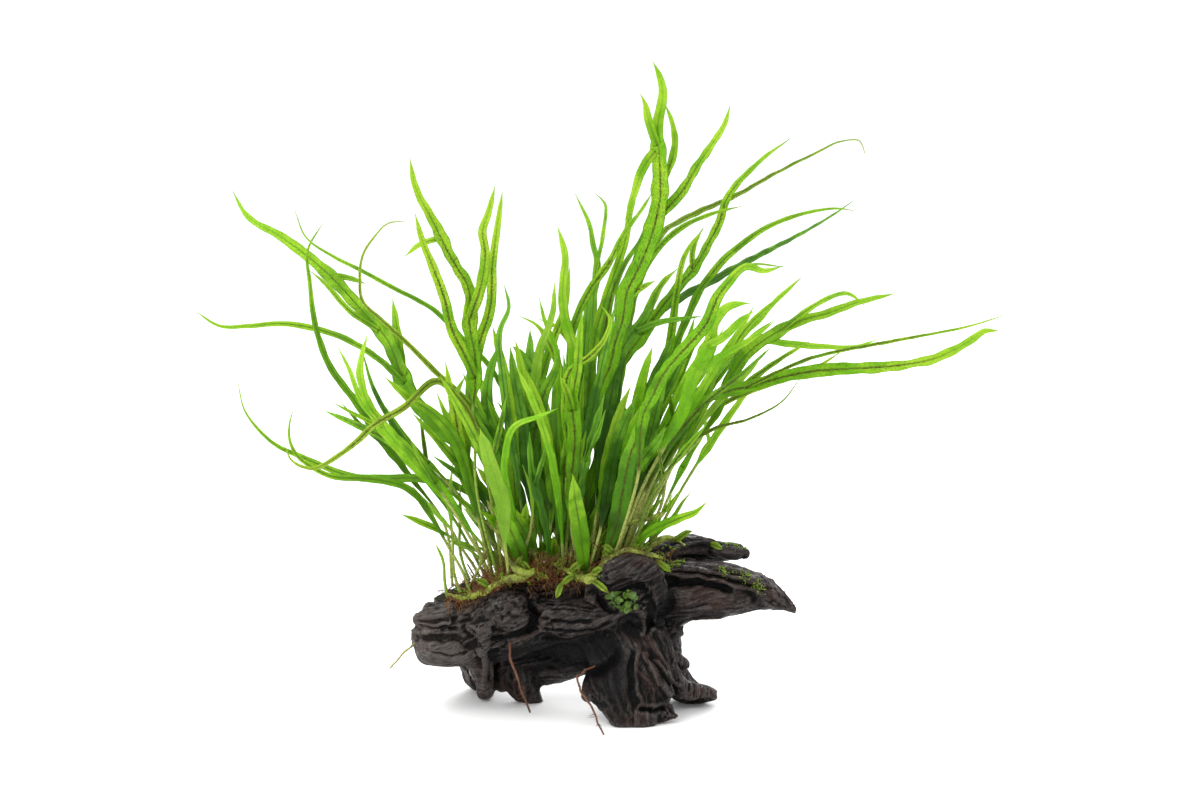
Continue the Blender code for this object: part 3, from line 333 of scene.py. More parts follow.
FRONDS = frond_list("""
left_01 52 6.8 .35 .2 18: -32 62 -37 71 -45 90 -55 110 -64 119 -76 133 -86 156 -94 165 -110 182 -128 196 -141
  204 -147 214
 2.8: -78 137 -90 148 -100 154 -114 159 -127 161 -141 160 -152 160 -162 166
 4.6: -79 140 -81 158 -83 171
 2.6: -88 158 -100 166 -111 178 -116 182
 3: -108 180 -100 179 -94 177
left_02 -34 5.2 .2 .4 -12: -40 62 -50 102 -50 113 -51 124 -50 135 -50 148 -52 158 -53 176 -59 186 -67 202 -74
  216 -76 227
 4.3: -52 163 -47 179 -46 190 -47 198 -45 204 -42 216
 4.2: -50 141 -49 150 -44 167 -43 185 -41 200 -39 214
 4.4: -50 139 -54 148 -59 158 -62 170 -67 184 -71 194 -74 205
 2.6: -64 195 -71 193 -78 188
left_03 30 2.4 .6 .3 22: -16 66 -20 95 -26 122 -36 131 -45 145 -55 155 -66 166 -84 176 -95 182 -107 188 -118
  196 -122 206
left_04 12 2.3 .8 .3 15: -31 65 -34 100 -42 115 -56 133 -65 141 -77 153 -88 163 -95 170 -96 179 -95 188 -90
  196 -85 201 -78 202
left_05 38 3.4 .7 .22 -20: -59 56 -62 80 -77 101 -90 118 -98 130 -107 142 -114 161 -116 177 -117 190 -111 201
 1.8: -86 112 -96 121 -104 130
left_06 20 3.6 1 .2 14: -40 64 -48 90 -53 94 -71 99 -88 99 -100 100 -111 104 -120 108 -129 112 -135 117 -142
  126 -145 138
left_07 -26 3 .8 .2 -12: -51 60 -55 69 -60 76 -67 86 -72 92 -79 96 -94 99 -108 100 -116 104 -121 108 -124 114
  -124 122 -122 128
left_08 -44 3.1 .4 .3 18: -38 65 -45 100 -54 128 -65 138 -79 127 -91 120 -96 115 -105 108 -116 103 -124 107
  -126 113
left_09 -18 5.5 .4 .18 14: -38 64 -46 75 -53 82 -60 91 -69 100 -76 107 -82 114 -89 123 -94 132 -96 142 -93 157
 2.4: -87 119 -96 131 -100 142 -105 152
left_10 4 3.8 .3 .3 -25: -43 62 -52 98 -57 110 -59 119 -61 124 -64 130
 4.4: -54 104 -54 114 -58 126
left_11 -8 1.6 .2 .7 0: -61 53 -62 58 -63 68 -66 74
left_12 -12 2 .5 .5 30: -56 54 -58 60 -59 75 -60 89 -59 105
left_13 8 2 .5 .5 -30: -52 55 -54 60 -56 68 -56 80 -56 96
left_14 16 2.2 .5 .5 20: -48 56 -50 60 -56 70 -59 76 -68 87 -75 96
middle_01 -66 6.8 .1 .25 8: -36 66 -38 80 -39 94 -44 106 -48 119
middle_02 -22 5.4 .3 .2 15: -29 66 -33 96 -37 103 -40 110 -46 121 -52 130
middle_03 -60 8 0 .12 -10: -28 64 -31 72 -37 84 -43 90
middle_04 -30 1.8 .5 .6 20: -32 65 -31 74 -28 82 -27 91 -28 98 -31 105
middle_05 -14 6.2 .3 .15 -18: -16 66 -18 79 -24 94 -27 102 -26 118 -24 126 -22 134 -18 142 -16 151
 3: -25 120 -30 123 -36 124
middle_06 -38 5.6 .3 .2 12: -7 64 -10 74 -12 91 -11 103 -10 115 -11 129 -9 143 -8 157 -7 166
 3.6: -11 126 -13 133 -16 140
middle_07 -74 7.4 0 .12 -8: -5 64 -6 70 -7 77 -8 84 -10 94 -11 102
middle_08 6 5.4 .2 .15 25: -3 66 -2 81 2 91 6 102
middle_09 -52 8.6 .1 .12 12: 0 66 3 75 6 82 9 95 12 108 16 118 20 130
middle_10 34 6.4 .2 .31 10: -21 66 -26 100 -27 130 -28 140 -28 150 -28 159
 4.2: -28 142 -31 148 -35 152
 4.2: -28 141 -25 148 -21 153
middle_11 24 4.4 .4 .22 -22: -14 66 -12 100 -13 125 -15 137 -17 145 -20 152 -25 160 -32 164
middle_12 44 3.6 .5 .25 20: -17 66 -17 100 -18 128 -16 139 -13 142 -8 144 -2 148 2 154 3 160 2 167
middle_13 58 4 .4 .22 25: -9 66 -6 100 -4 130 -3 153 -3 162 -2 176 -1 185 -3 194 -4 200 -7 207 -10 213
 2.2: -2 180 1 195 2 202 2 209 -2 213
middle_14 14 4.8 .1 .2 -15: -13 66 -14 100 -12 130 -11 152 -14 163 -15 174 -14 188 -17 200
middle_15 -4 5 .4 .18 18: -20 66 -24 100 -28 130 -26 138 -24 150 -19 165 -18 178
middle_16 46 4.4 .4 .2 -20: -5 66 -6 100 -5 130 -1 160 4 176 10 194 12.4 207 15 217 18 225
right_01 -10 8.6 .2 .25 16: -10 63 -17 74 -18 80 -17 87 -14 96 -12 105 -8 114 -4 123 0 135 4 144 6 153 9 162
  11 174 15 182 20 194 24 211 24 225 23 238 25 255 23 262 21 266
 3.6: 23 232 19 244 18 249 16 253
 3.4: 24 216 29 227 30 234 29 241 26 249
 3.8: 22 230 17 223 14 214 10 202
 4.4: 22 202 33 214 39 224 45 233 50 241 52 248
 3: 11 170 16 175 22 178
right_02 78 3.8 .9 .22 58: -1 66 2 100 8 140 16 178 26 198 38 205 54 212 70 221 86 229 97 234 104 234 106 229
right_03 28 3.8 .5 .22 -15: 1 66 3 100 7 140 13 172 24 192 32 199 45 205 57 208
right_04 36 4.8 .45 .2 20: 2 66 1 100 5 139 10 147 16 155 23 165 30 174 39 185 44 194 48 202 50 209 64 226 76
  235
 4: 17 156 20 168 25 177 31 183
 2.4: 37 183 37 190 41 199
right_05 70 4.6 .7 .22 62: 3 66 3 100 5 135 8 151 13 157 27 168 43 177 59 186 75 194 94 205 101 210
right_06 62 3.6 .6 .22 -18: 5 66 9 95 20 130 30 152 36 166 39 173 44 180 50 187 56 192 64 198 75 203 86 206 96
  207 102 206
right_07 -62 5.6 .35 .26 14: 4 67 9 81 15 100 18 126 21 132 25 140 35 152 42 160 48 173 52 178 59 184 65 182
  73 184
right_08 -46 5.8 .2 .42 -16: 5 66 11 81 18 98 26 112 33 126 37 139 44 154 45 160 48 165 52 168 56 169 60 169
 3.4: 43 152 50 156 54 160 57 163 62 166
 3: 39 143 52 150 62 156 70 162
right_09 -30 5.2 -.1 .3 16: 2 67 9 81 18 98 26 112 35 125 43 131 52 134 64 137 75 140 86 142 102 143 118 144
  134 147 148 154 154 158 160 158
 1.8: 58 135 72 142 84 147 96 150 112 153 128 156 148 160 161 164
 2.6: 56 135 64 141 71 146 79 151 84 154
right_10 18 3.4 .4 .4 -30: 7 67 14 85 28 106 40 130 52 147 64 154 75 153 86 152 103 152 112 155
 2.8: 46 139 56 155 64 163 71 171 80 179
right_11 -2 5 .3 .36 14: 8 68 15 89 28 103 37 112 46 124 52 139 59 149 70 157 80 162 91 165 102 169 118 173
 2.6: 72 158 84 167 91 171 99 173 106 168
right_12 -20 1.7 .8 .4 25: 14 67 20 79 24 87 28 103 40 116 46 119 60 123 73 130 80 139
right_13 -58 3.8 .3 .15 10: 12 65 14 71 18 76 25 80 32 83 39 86 43 90
right_14 -6 2 .5 .31 20: 14 68 22 75 30 84 33 89 37 94
right_15 -48 6.2 .2 .15 -14: 3 67 7 85 12 102 18 108 23 114 26 120
right_16 2 6.2 .35 .2 -20: -2 66 0 100 4 130 9 151 17 163 24 175
 2.6: 14 158 22 161 41 164
""", "frond_")
SIDE_FRONDS = frond_list("""
side_01 -30 3.4 .3 .26 10: -28 62 -33 100 -39 140 -40 158 -36.4 168 -38.4 176.4
side_02 20 3.2 .3 .26 6: -14 64 -14 100 -16 130 -17.6 150.4 -22.4 163.2 -24.4 171.6
side_03 26 3.6 .3 .26 2: 4 66 14 100 24 135 28.8 158.8 30.4 171.6 34.8 190 41.6 199.2
side_04 -34 3.6 .3 .4 -2: 8 67 22 100 36 126 48 146.4 56 158.4 61.6 168
side_05 24 2.8 .3 .4 -6: -46 60 -58 82 -72 102 -84 114 -94 121
side_06 -26 3.2 .3 .26 -10: -42 62 -50 90 -60 120 -65.6 134
side_07 -44 3.8 .3 .26 10: 0 66 5 84 10.8 98.4 18 106.8 26.8 119.6
side_08 14 3.4 .3 .26 6: 10 67 22 98 38 126 54.8 148.8 62.4 157.2 69.6 162.4
side_09 36 2.2 .3 .26 2: 10 68 26 120 44 165 60 184.4 74 183.6
side_10 -10 3 .3 .4 -2: 14 68 34 115 50 147 62.4 163.2 70.4 170 80.4 179.2
side_11 -30 3.2 .3 .26 -6: 10 68 18 90 26 112 36 134 46 146 56 152
side_12 -18 2.8 .3 .45 -10: 12 68 22 92 32 110 46 128 58 140 66 150
side_13 10 3.2 .3 .26 10: 8 67 14 90 22 112 30 130 36 142 44 150 50 160
side_14 4 2.4 .3 .5 6: 10 68 20 92 33 114 48 128 66 136 84 142 97 150
side_15 8 2.6 .3 .26 2: -44 60 -55 84 -70 104 -83 121 -91 136 -95 150
side_16 -8 4.6 .3 .26 -2: -38 62 -48 86 -57 108 -59 122 -57.2 133.6 -53.6 140.4
side_17 -30 4.8 .3 .26 -6: -42 61 -50 90 -52.6 99.2 -59.3 116.8 -68 126 -75.2 130.4 -86.2 139.6
side_18 -48 3 .3 .26 -10: -30 62 -34 84 -38 106 -34 120 -24 124 -17 127
side_19 -36 3.2 .3 .26 10: -8 64 -10 100 -14 130 -12 142 -4 148 2.5 156 4 163 .5 168
side_20 40 4.4 .3 .26 6: -20 64 -24 100 -26 130 -20 150 -14 168 -12 184
side_21 46 4 .3 .26 2: -2 66 0 100 -4 130 -10 150 -18 160 -25 163
side_22 -20 4.2 .3 .26 -2: 2 66 8 92 16 116 26 134 34 150 38 164
side_23 -26 5.2 .3 .26 -6: -30 62 -34 94 -36 124 -39 144 -43 160
side_24 -16 5.6 .3 .26 -10: -25 62 -28 94 -31 122 -34 138 -36 152
side_25 -6 6 .3 .26 10: 4 66 10 92 14 114 16 134 21 152
side_26 -24 5.2 .3 .26 6: 6 67 13 92 19 112 23 128 27 145
side_27 20 6 .3 .26 2: -33 62 -38 88 -42 110 -44 126 -49 142
side_28 24 4.4 .3 .26 -2: -6 66 -7 104 -7 134 -6 156 -4 178
side_29 6 5.8 .3 .26 -6: -1 66 3 106 7 144 11 170 17 198
side_30 -40 3 .3 .26 -10: 8 67 17 92 29 114 43 130 57 141 69 152
side_34 8 6.6 .2 .2 -14: 2 66 8 94 14 116 20 134 29 156
side_35 -12 6 .3 .2 12: 3 66 11 94 19 116 26 131 35 147
side_36 14 6 .2 .2 -6: -34 62 -40 92 -44 116 -45 136 -41 152
side_37 -10 4.8 .3 .26 6: -40 61 -50 90 -56 114 -59 131 -62 146
side_31 30 4.6 .3 .26 10: -34 62 -40 92 -50 120 -52 140 -46 156
side_32 18 3.6 .3 .26 6: -8 66 -10 100 -11 130 -10.8 158.4 -4.4 174 4.1 186 10.6 198.4 16.3 206 21.3 214
side_33 4 3.4 .3 .26 2: -2 66 -1 100 0 130 2 158.4 5.6 175.4 10.6 186 16.3 194.8 18.4 202
""")

# How the solids of the fronds are drawn, in mm: the finer surfaces follow the same rules.
STALK_RADIUS = 0.65
BLADE_HALF_THICKNESS = 0.34
TIP_HALF_WIDTH = 0.3
RING_STEP = 15
SAMPLE_STEP = 3
FROND_CLEARANCE = 1.1
SETTLE_ROUNDS = 500
SETTLE_PACE = 0.6
BASE_DEPTHS = (-12, 11)
FACING = (0.0, -0.97, 0.24)
LOBE_RISE = 0.22
LOBE_TAIL = 0.2
LOBE_START = 0.25
GAP = 0.3
RIDGES = ((3, 0.07, 0.055, 1.3), (5, 0.045, -0.08, 4.0), (1, 0.06, 0.16, 2.2))


class Tone(Enum):
    """The fern's leaf finishes."""

    LIME = "fern_leaf_lime"
    LEAF = "fern_leaf_green"
    DEEP = "fern_leaf_deep"
    OLIVE = "fern_leaf_olive"
    SPORED = "fern_leaf_spored"
    RIBBED = "fern_leaf_ribbed"
    PALE = "fern_leaf_pale"


TONES: dict[Tone, tuple[str, ...]] = {
    Tone.LIME: ("left_09", "middle_14", "right_08", "right_10", "side_11", "side_13"),
    Tone.DEEP: ("middle_02", "middle_10", "right_05", "right_15", "right_16", "side_29", "side_34"),
    Tone.OLIVE: ("left_04", "left_08", "right_02", "right_12", "side_14"),
    Tone.SPORED: ("left_02", "right_01", "right_03", "right_04", "right_07", "right_09", "middle_06",
                  "middle_11", "side_03", "side_32"),
    Tone.RIBBED: ("middle_03", "middle_05", "middle_09", "middle_12", "side_33"),
    Tone.PALE: ("left_11", "left_12", "left_13", "left_14", "middle_01", "middle_04", "middle_15",
                "right_14", "side_12", "side_16"),
}
YOUNG_TONES = (Tone.LEAF, Tone.RIBBED, Tone.DEEP, Tone.LEAF, Tone.SPORED, Tone.LEAF, Tone.DEEP, Tone.LIME)


def unit(rows: Array) -> Array:
    """Rows scaled to length 1."""
    return rows / np.maximum(np.linalg.norm(rows, axis=-1, keepdims=True), 1e-9)


def stacked(*parts: Array | float) -> Array:
    """Values side by side on a new last axis, the smaller ones spread to the shape of the largest."""
    return np.stack(np.broadcast_arrays(*parts), axis=-1)


def travelled(points: Array) -> Array:
    """Distance along rows of points, from the first."""
    return np.concatenate(([0.0], np.cumsum(np.linalg.norm(np.diff(points, axis=0), axis=1))))


def through(values: Array, along: Array, wanted: Array) -> Array:
    """Smooth curve through rows: on each span, the cubic that keeps the slopes of the rows.

    Args:
        values: rows of numbers, one for each place.
        along: rising places of the rows.
        wanted: places to read.

    Returns:
        One row for each wanted place.
    """
    slope = np.gradient(values, along, axis=0)
    k = np.clip(np.searchsorted(along, wanted, side="right") - 1, 0, len(along) - 2)
    span = (along[k + 1] - along[k])[:, None]
    t = (wanted - along[k])[:, None] / span
    start = (1 + 2 * t) * (1 - t) ** 2 * values[k] + t * (1 - t) ** 2 * span * slope[k]
    end = t * t * (3 - 2 * t) * values[k + 1] + t * t * (t - 1) * span * slope[k + 1]
    return start + end


def curve(points: Array, count: int) -> Array:
    """Evenly spaced rows of the smooth curve through drawn points.

    Args:
        points: rows whose first two columns are the drawn place.
        count: number of rows wanted.

    Returns:
        The rows, with the same columns.
    """
    points = np.array(points, float)
    along = travelled(points[:, :2])
    return through(points, along, np.linspace(0.0, along[-1], count))


def smooth_step(low: float, high: float, value: Array) -> Array:
    """0 below low, 1 above high, and an S-shaped rise between."""
    t = np.clip((value - low) / (high - low), 0.0, 1.0)
    return t * t * (3 - 2 * t)


def noise(points: Array, seed: int) -> Array:
    """Smooth noise from -1 to 1: hashed values at whole-number corners, blended by a fifth-power step.

    Args:
        points: places with a last axis of 3, one unit to a cell.
        seed: picks another field.

    Returns:
        One value for each place.
    """
    shape = points.shape[:-1]
    flat = points.reshape(-1, 3)
    cell = np.floor(flat)
    part = flat - cell
    part = part ** 3 * (part * (part * 6 - 15) + 10)
    cell = cell.astype(np.int64).astype(np.uint32)
    total = np.zeros(len(flat))
    for corner in range(8):
        step = np.array((corner & 1, corner >> 1 & 1, corner >> 2 & 1), np.uint32)
        at = cell + step
        mixed = at[:, 0] * np.uint32(374761393) + at[:, 1] * np.uint32(668265263)
        mixed = mixed + at[:, 2] * np.uint32(2246822519) + np.uint32(seed * 97 + 13)
        mixed = (mixed ^ (mixed >> np.uint32(15))) * np.uint32(2654435761)
        mixed = (mixed ^ (mixed >> np.uint32(13))) * np.uint32(1274126177)
        value = (mixed >> np.uint32(8)) / float(1 << 24)
        total += value * np.prod(np.where(step, part, 1 - part), axis=1)
    return (2 * total - 1).reshape(shape)


def layered(points: Array, seed: int, layers: int = 3) -> Array:
    """Sum of noises, each twice as fine and half as strong as the one before.

    Args:
        points: places with a last axis of 3, one unit to a cell of the first noise.
        seed: picks another field.
        layers: how many noises.

    Returns:
        Values from about -1 to 1.
    """
    total = np.zeros(points.shape[:-1])
    for layer in range(layers):
        total += noise(points * 2.0 ** layer, seed + layer) * 0.5 ** layer
    return total / (2 - 0.5 ** (layers - 1))


@dataclass
class Patch:
    """A surface being made: places in mm, faces of four and of three corners, and values per place."""

    points: Array
    quads: Array
    tris: Array
    marks: dict[str, Array] = field(default_factory=dict)

    def outward(self) -> "Patch":
        """Turns a closed surface inside out if the volume inside its faces is negative.

        Returns:
            The same patch.
        """
        halves = np.vstack((self.tris, self.quads[:, :3], self.quads[:, (0, 2, 3)]))
        a, b, c = (self.points[halves[:, k]] for k in range(3))
        start = self.points[0]
        if np.einsum("ij,ij->", a - start, np.cross(b - start, c - start)) < 0:
            self.quads, self.tris = self.quads[:, ::-1], self.tris[:, ::-1]
        return self


def join(patches: list[Patch]) -> Patch:
    """Joins patches, with their marks.

    Args:
        patches: the patches, which all have the same marks.

    Returns:
        One patch.
    """
    starts = np.cumsum([0] + [len(p.points) for p in patches])
    return Patch(np.vstack([p.points for p in patches]),
                 np.vstack([p.quads + s for p, s in zip(patches, starts)]),
                 np.vstack([p.tris + s for p, s in zip(patches, starts)]),
                 {name: np.vstack([p.marks[name] for p in patches]) for name in patches[0].marks})


def skin(rings: Array, marks: dict[str, Array] | None = None) -> Patch:
    """Closed skins over rings of points, with a pole in the middle of the first and last ring.

    Args:
        rings: places with axes (skin, ring, side, xyz), or without the first axis for one skin.
        marks: values with the same axes but their own last one.

    Returns:
        One patch of all the skins.
    """
    rings = rings if rings.ndim == 4 else rings[None]
    many, count, sides = rings.shape[:3]

    def with_poles(values: Array) -> Array:
        """Values of the rings, then of the two poles, one block for each skin."""
        poles = np.stack((values[:, 0].mean(axis=1), values[:, -1].mean(axis=1)), axis=1)
        return np.concatenate((values.reshape(many, count * sides, -1), poles), axis=1)

    i, j = np.meshgrid(np.arange(count - 1), np.arange(sides), indexing="ij")
    near, far = i * sides, (i + 1) * sides
    ahead = (j + 1) % sides
    quads = stacked(near + j, near + ahead, far + ahead, far + j).reshape(-1, 4)
    j, ahead = j[0], ahead[0]
    last = (count - 1) * sides
    low = stacked(count * sides, ahead, j)
    high = stacked(count * sides + 1, last + j, last + ahead)
    tris = np.vstack((low, high))
    starts = (np.arange(many) * (count * sides + 2))[:, None, None]
    held = {}
    for name, values in (marks or {}).items():
        values = values if values.ndim == 4 else values[None]
        held[name] = with_poles(values).reshape(-1, values.shape[-1])
    return Patch(with_poles(rings).reshape(-1, 3), (quads + starts).reshape(-1, 4),
                 (tris + starts).reshape(-1, 3), held)


def tubes(paths: Array, radii: Array, own: Array | float, sides: int = 4,
          along: Array | float = 0.0) -> Patch:
    """Round tubes along many paths at once: each ring is a circle square to its path.

    Args:
        paths: places with axes (tube, ring, xyz).
        radii: radius at each ring, with axes (tube, ring).
        own: each tube's own shade, 0 to 1.
        sides: corners of a ring.
        along: how far along each ring is, 0 to 1.

    Returns:
        One patch of all the tubes, whose tone marks hold along, nothing and the shade.
    """
    forward = unit(np.gradient(paths, axis=1))
    whole = unit(paths[:, -1] - paths[:, 0])[:, None]
    guide = np.where(np.abs(whole[..., 2:]) > 0.8, np.array((0.3, -0.95, 0.0)), np.array((0.1, 0.2, 1.0)))
    first = unit(np.cross(forward, guide))
    second = np.cross(forward, first)
    turn = np.linspace(0.0, 2 * pi, sides, endpoint=False)[:, None]
    rings = first[:, :, None] * np.cos(turn) + second[:, :, None] * np.sin(turn)
    rings = paths[:, :, None] + rings * radii[..., None, None]
    tone = stacked(along, 0 * radii, own)
    return skin(rings, {"tone": np.repeat(tone[:, :, None], sides, axis=2)}).outward()


def set_marks(mesh: Mesh, marks: dict[str, Array]) -> None:
    """Gives a mesh vector attributes.

    Args:
        mesh: the mesh.
        marks: for each attribute, a row of three for each vertex.
    """
    for mark, values in marks.items():
        layer = mesh.attributes.new(mark, "FLOAT_VECTOR", "POINT")
        layer.data.foreach_set("vector", values.astype(np.float32).ravel())


def vertex_rows(mesh: Mesh, value: str = "co") -> Array:
    """Reads the places or normals of a mesh.

    Args:
        mesh: the mesh.
        value: co for the places in metres, or normal.

    Returns:
        A row of three for each vertex.
    """
    rows = np.empty(len(mesh.vertices) * 3, np.float32)
    mesh.vertices.foreach_get(value, rows)
    return rows.reshape(-1, 3).astype(float)


def make_mesh(name: str, patch: Patch) -> Mesh:
    """A mesh of a patch, in metres, kept inside the box of the solids.

    Args:
        name: the mesh's name.
        patch: the surface, in mm.

    Returns:
        The mesh, smooth, with each mark as a vector attribute.
    """
    mesh = bpy.data.meshes.new(name)
    places = np.clip(patch.points * MM, np.array(cad_box[0]), np.array(cad_box[1]))
    mesh.vertices.add(len(places))
    mesh.vertices.foreach_set("co", places.ravel())
    loops = np.concatenate((patch.quads.ravel(), patch.tris.ravel())).astype(np.int32)
    mesh.loops.add(len(loops))
    mesh.loops.foreach_set("vertex_index", loops)
    quads, tris = len(patch.quads), len(patch.tris)
    starts = np.concatenate((np.arange(quads) * 4, quads * 4 + np.arange(tris) * 3)).astype(np.int32)
    mesh.polygons.add(quads + tris)
    mesh.polygons.foreach_set("loop_start", starts)
    mesh.polygons.foreach_set("use_smooth", np.ones(quads + tris, bool))
    mesh.update(calc_edges=True)
    mesh.validate()
    set_marks(mesh, patch.marks)
    return mesh


def new_object(name: str, data: ID) -> Object:
    """Puts a new object into the scene.

    Args:
        name: its name.
        data: its mesh, lamp or camera.

    Returns:
        The object.
    """
    made = bpy.data.objects.new(name, data)
    bpy.context.scene.collection.objects.link(made)
    return made


def add_piece(name: str, form: Patch | Mesh, material: Material, slot: str, *stands_for: str) -> None:
    """Puts a finished form into the scene as a piece of the object, and reports it.

    Args:
        name: the piece's name.
        form: its mesh, or the patch to make it of.
        material: its finish.
        slot: not used.
        stands_for: names of the solids that it replaces.
    """
    mesh = make_mesh(name, form) if isinstance(form, Patch) else form
    piece = new_object(name, mesh)
    mesh.materials.append(material)
    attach(piece, "root")
    if stands_for:
        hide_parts(*stands_for)
    LOG.info("%s: %d faces", name, len(mesh.polygons))


@dataclass(frozen=True)
class Value:
    """An output of a node, which sums, products, smooth maps and blends are made of."""

    socket: NodeSocket

    def maths(self, kind: str, *others: object) -> "Value":
        """A maths node on this value and others."""
        inputs = dict(enumerate((self, *others)))
        return outputs(put(self.socket.id_data, "Math", inputs, operation=kind))[0]

    def __add__(self, other: object) -> "Value":
        """The sum."""
        return self.maths("ADD", other)

    def __sub__(self, other: object) -> "Value":
        """The difference."""
        return self.maths("SUBTRACT", other)

    def __mul__(self, other: object) -> "Value":
        """The product."""
        return self.maths("MULTIPLY", other)

    def __truediv__(self, other: object) -> "Value":
        """The share."""
        return self.maths("DIVIDE", other)

    def step(self, low: object, high: object, to_low: object = 0.0, to_high: object = 1.0) -> "Value":
        """A smooth map from one range to another, held at its ends."""
        inputs = {"Value": self, "From Min": low, "From Max": high, "To Min": to_low, "To Max": to_high}
        return outputs(put(self.socket.id_data, "MapRange", inputs, interpolation_type="SMOOTHSTEP"))[0]

    def blend(self, first: object, second: object) -> "Value":
        """A mix of two colours, by this share of the second."""
        mix = put(self.socket.id_data, "Mix", {0: self, 6: first, 7: second}, data_type="RGBA")
        return outputs(mix)[2]

    def split(self) -> list["Value"]:
        """The three parts of a vector."""
        return outputs(put(self.socket.id_data, "SeparateXYZ", {0: self}))


def outputs(node: Node) -> list[Value]:
    """All outputs of a node."""
    return [Value(socket) for socket in node.outputs]


def feed(node: Node, inputs: dict) -> Node:
    """Links or sets inputs of a node.

    Args:
        node: the node.
        inputs: socket names or numbers, each with a value, a colour or an output to link.

    Returns:
        The node.
    """
    for key, value in inputs.items():
        socket = node.inputs[key]
        if isinstance(value, Value):
            node.id_data.links.new(value.socket, socket)
        else:
            socket.default_value = (*value, 1.0) if socket.type == "RGBA" else value
    return node


def put(tree: NodeTree, kind: str, inputs: dict | None = None, **settings: object) -> Node:
    """Adds a node.

    Args:
        tree: where the node goes.
        kind: the node's type, without its first words.
        inputs: as in feed.
        settings: properties of the node.

    Returns:
        The node.
    """
    node = tree.nodes.new("ShaderNode" + kind)
    for key, value in settings.items():
        setattr(node, key, value)
    return feed(node, inputs or {})


def new_group(name: str, inputs: dict[str, tuple[str, object]], results: dict[str, str]
              ) -> tuple[NodeTree, list[Value], Node]:
    """An empty node group.

    Args:
        name: the group's name.
        inputs: each input's kind, Float, Vector or Color, and its usual value.
        results: each output's kind.

    Returns:
        The group, its inputs as values to use in it, and its output node.
    """
    tree = bpy.data.node_groups.new(name, "ShaderNodeTree")
    for label, (kind, value) in inputs.items():
        socket = tree.interface.new_socket(label, in_out="INPUT", socket_type="NodeSocket" + kind)
        socket.default_value = value
    for label, kind in results.items():
        tree.interface.new_socket(label, in_out="OUTPUT", socket_type="NodeSocket" + kind)
    return tree, outputs(tree.nodes.new("NodeGroupInput")), tree.nodes.new("NodeGroupOutput")


def use_group(tree: NodeTree, name: str, inputs: dict[str, object]) -> list[Value]:
    """Places a node group with its own values, and gives its outputs."""
    return outputs(feed(put(tree, "Group", node_tree=bpy.data.node_groups[name]), inputs))


def patches(place: Value, size: float, low: float, high: float, detail: float = 3.0) -> Value:
    """A soft mask of patches so many mm wide, which starts and ends at two levels of its noise."""
    inputs = {"Vector": place, "Size": size, "Low": low, "High": high, "Detail": detail}
    return use_group(place.socket.id_data, "patches", inputs)[0]


def build_groups() -> None:
    """The effects that several finishes share: patches, three-colour shades, leaf marks and grain."""
    number, vector, colour = ("Float", 1.0), ("Vector", (0, 0, 0)), ("Color", (0, 0, 0, 1))
    tree, (place, size, low, high, detail, *_), out = new_group(
        "patches", {"Vector": vector, "Size": number, "Low": number, "High": number, "Detail": number},
        {"Mask": "Float"})
    cloud = put(tree, "TexNoise", {"Vector": place, "Detail": detail, "Scale": size.maths("POWER", -1.0)})
    feed(out, {"Mask": outputs(cloud)[0].step(low, high)})

    tree, (share, first, middle, last, *_), out = new_group(
        "shades", {"Share": number, "First": colour, "Middle": colour, "Last": colour}, {"Colour": "Color"})
    feed(out, {"Colour": share.step(0.5, 1.0).blend(share.step(0.0, 0.5).blend(first, middle), last)})

    tree, (leaf, rib_width, bead_width, *_), out = new_group(
        "leaf_marks", {"Leaf": vector, "Rib width": number, "Bead width": number},
        {"Rib": "Float", "Veins": "Float", "Hatch": "Float", "Beads": "Float", "Specks": "Float"})
    along, across, half = leaf.split()
    away = across.maths("ABSOLUTE")

    def cells(long: float, wide: float, layers: float) -> Value:
        """Noise over the blade, with cells so many mm long and wide."""
        cell = outputs(put(tree, "CombineXYZ", {0: along / long, 1: across / wide, 2: half}))[0]
        return outputs(put(tree, "TexNoise", {"Vector": cell, "Scale": 1.0, "Detail": layers}))[0]

    slanted = along - away * 0.8 + cells(3.0, 2.0, 1.0) * 3.0
    band = away.step(bead_width * 0.45, bead_width, 1.0, 0.0)
    feed(out, {"Rib": away.step(rib_width * 0.4, rib_width, 1.0, 0.0),
               "Veins": slanted.maths("PINGPONG", 1.0).step(0.04, 0.3, 1.0, 0.0),
               "Hatch": cells(5.0, 0.42, 2.0).step(0.35, 0.68),
               "Beads": band * cells(0.66, 0.5, 0.0).step(0.47, 0.54),
               "Specks": cells(0.62, 0.5, 0.0).step(0.655, 0.71)})

    tree, (place, length, width, *_), out = new_group(
        "grain", {"Vector": vector, "Length": number, "Width": number},
        {"Streaks": "Float", "Cracks": "Float"})
    x, y, z = place.split()
    drawn_out = outputs(put(tree, "CombineXYZ", {0: x / length, 1: y / width, 2: z / width}))[0]
    lines = put(tree, "TexNoise", {"Vector": drawn_out, "Scale": 1.0, "Detail": 4.0, "Roughness": 0.62})
    wide_lines = put(tree, "TexNoise", {"Vector": drawn_out, "Scale": 0.35, "Detail": 2.0})
    gap = (outputs(wide_lines)[0] - 0.5).maths("ABSOLUTE")
    feed(out, {"Streaks": outputs(lines)[0], "Cracks": gap.step(0.0, 0.035, 1.0, 0.0)})


def darker(colour: Colour, share: float) -> Colour:
    """A share of a colour."""
    return tuple(share * part for part in colour)


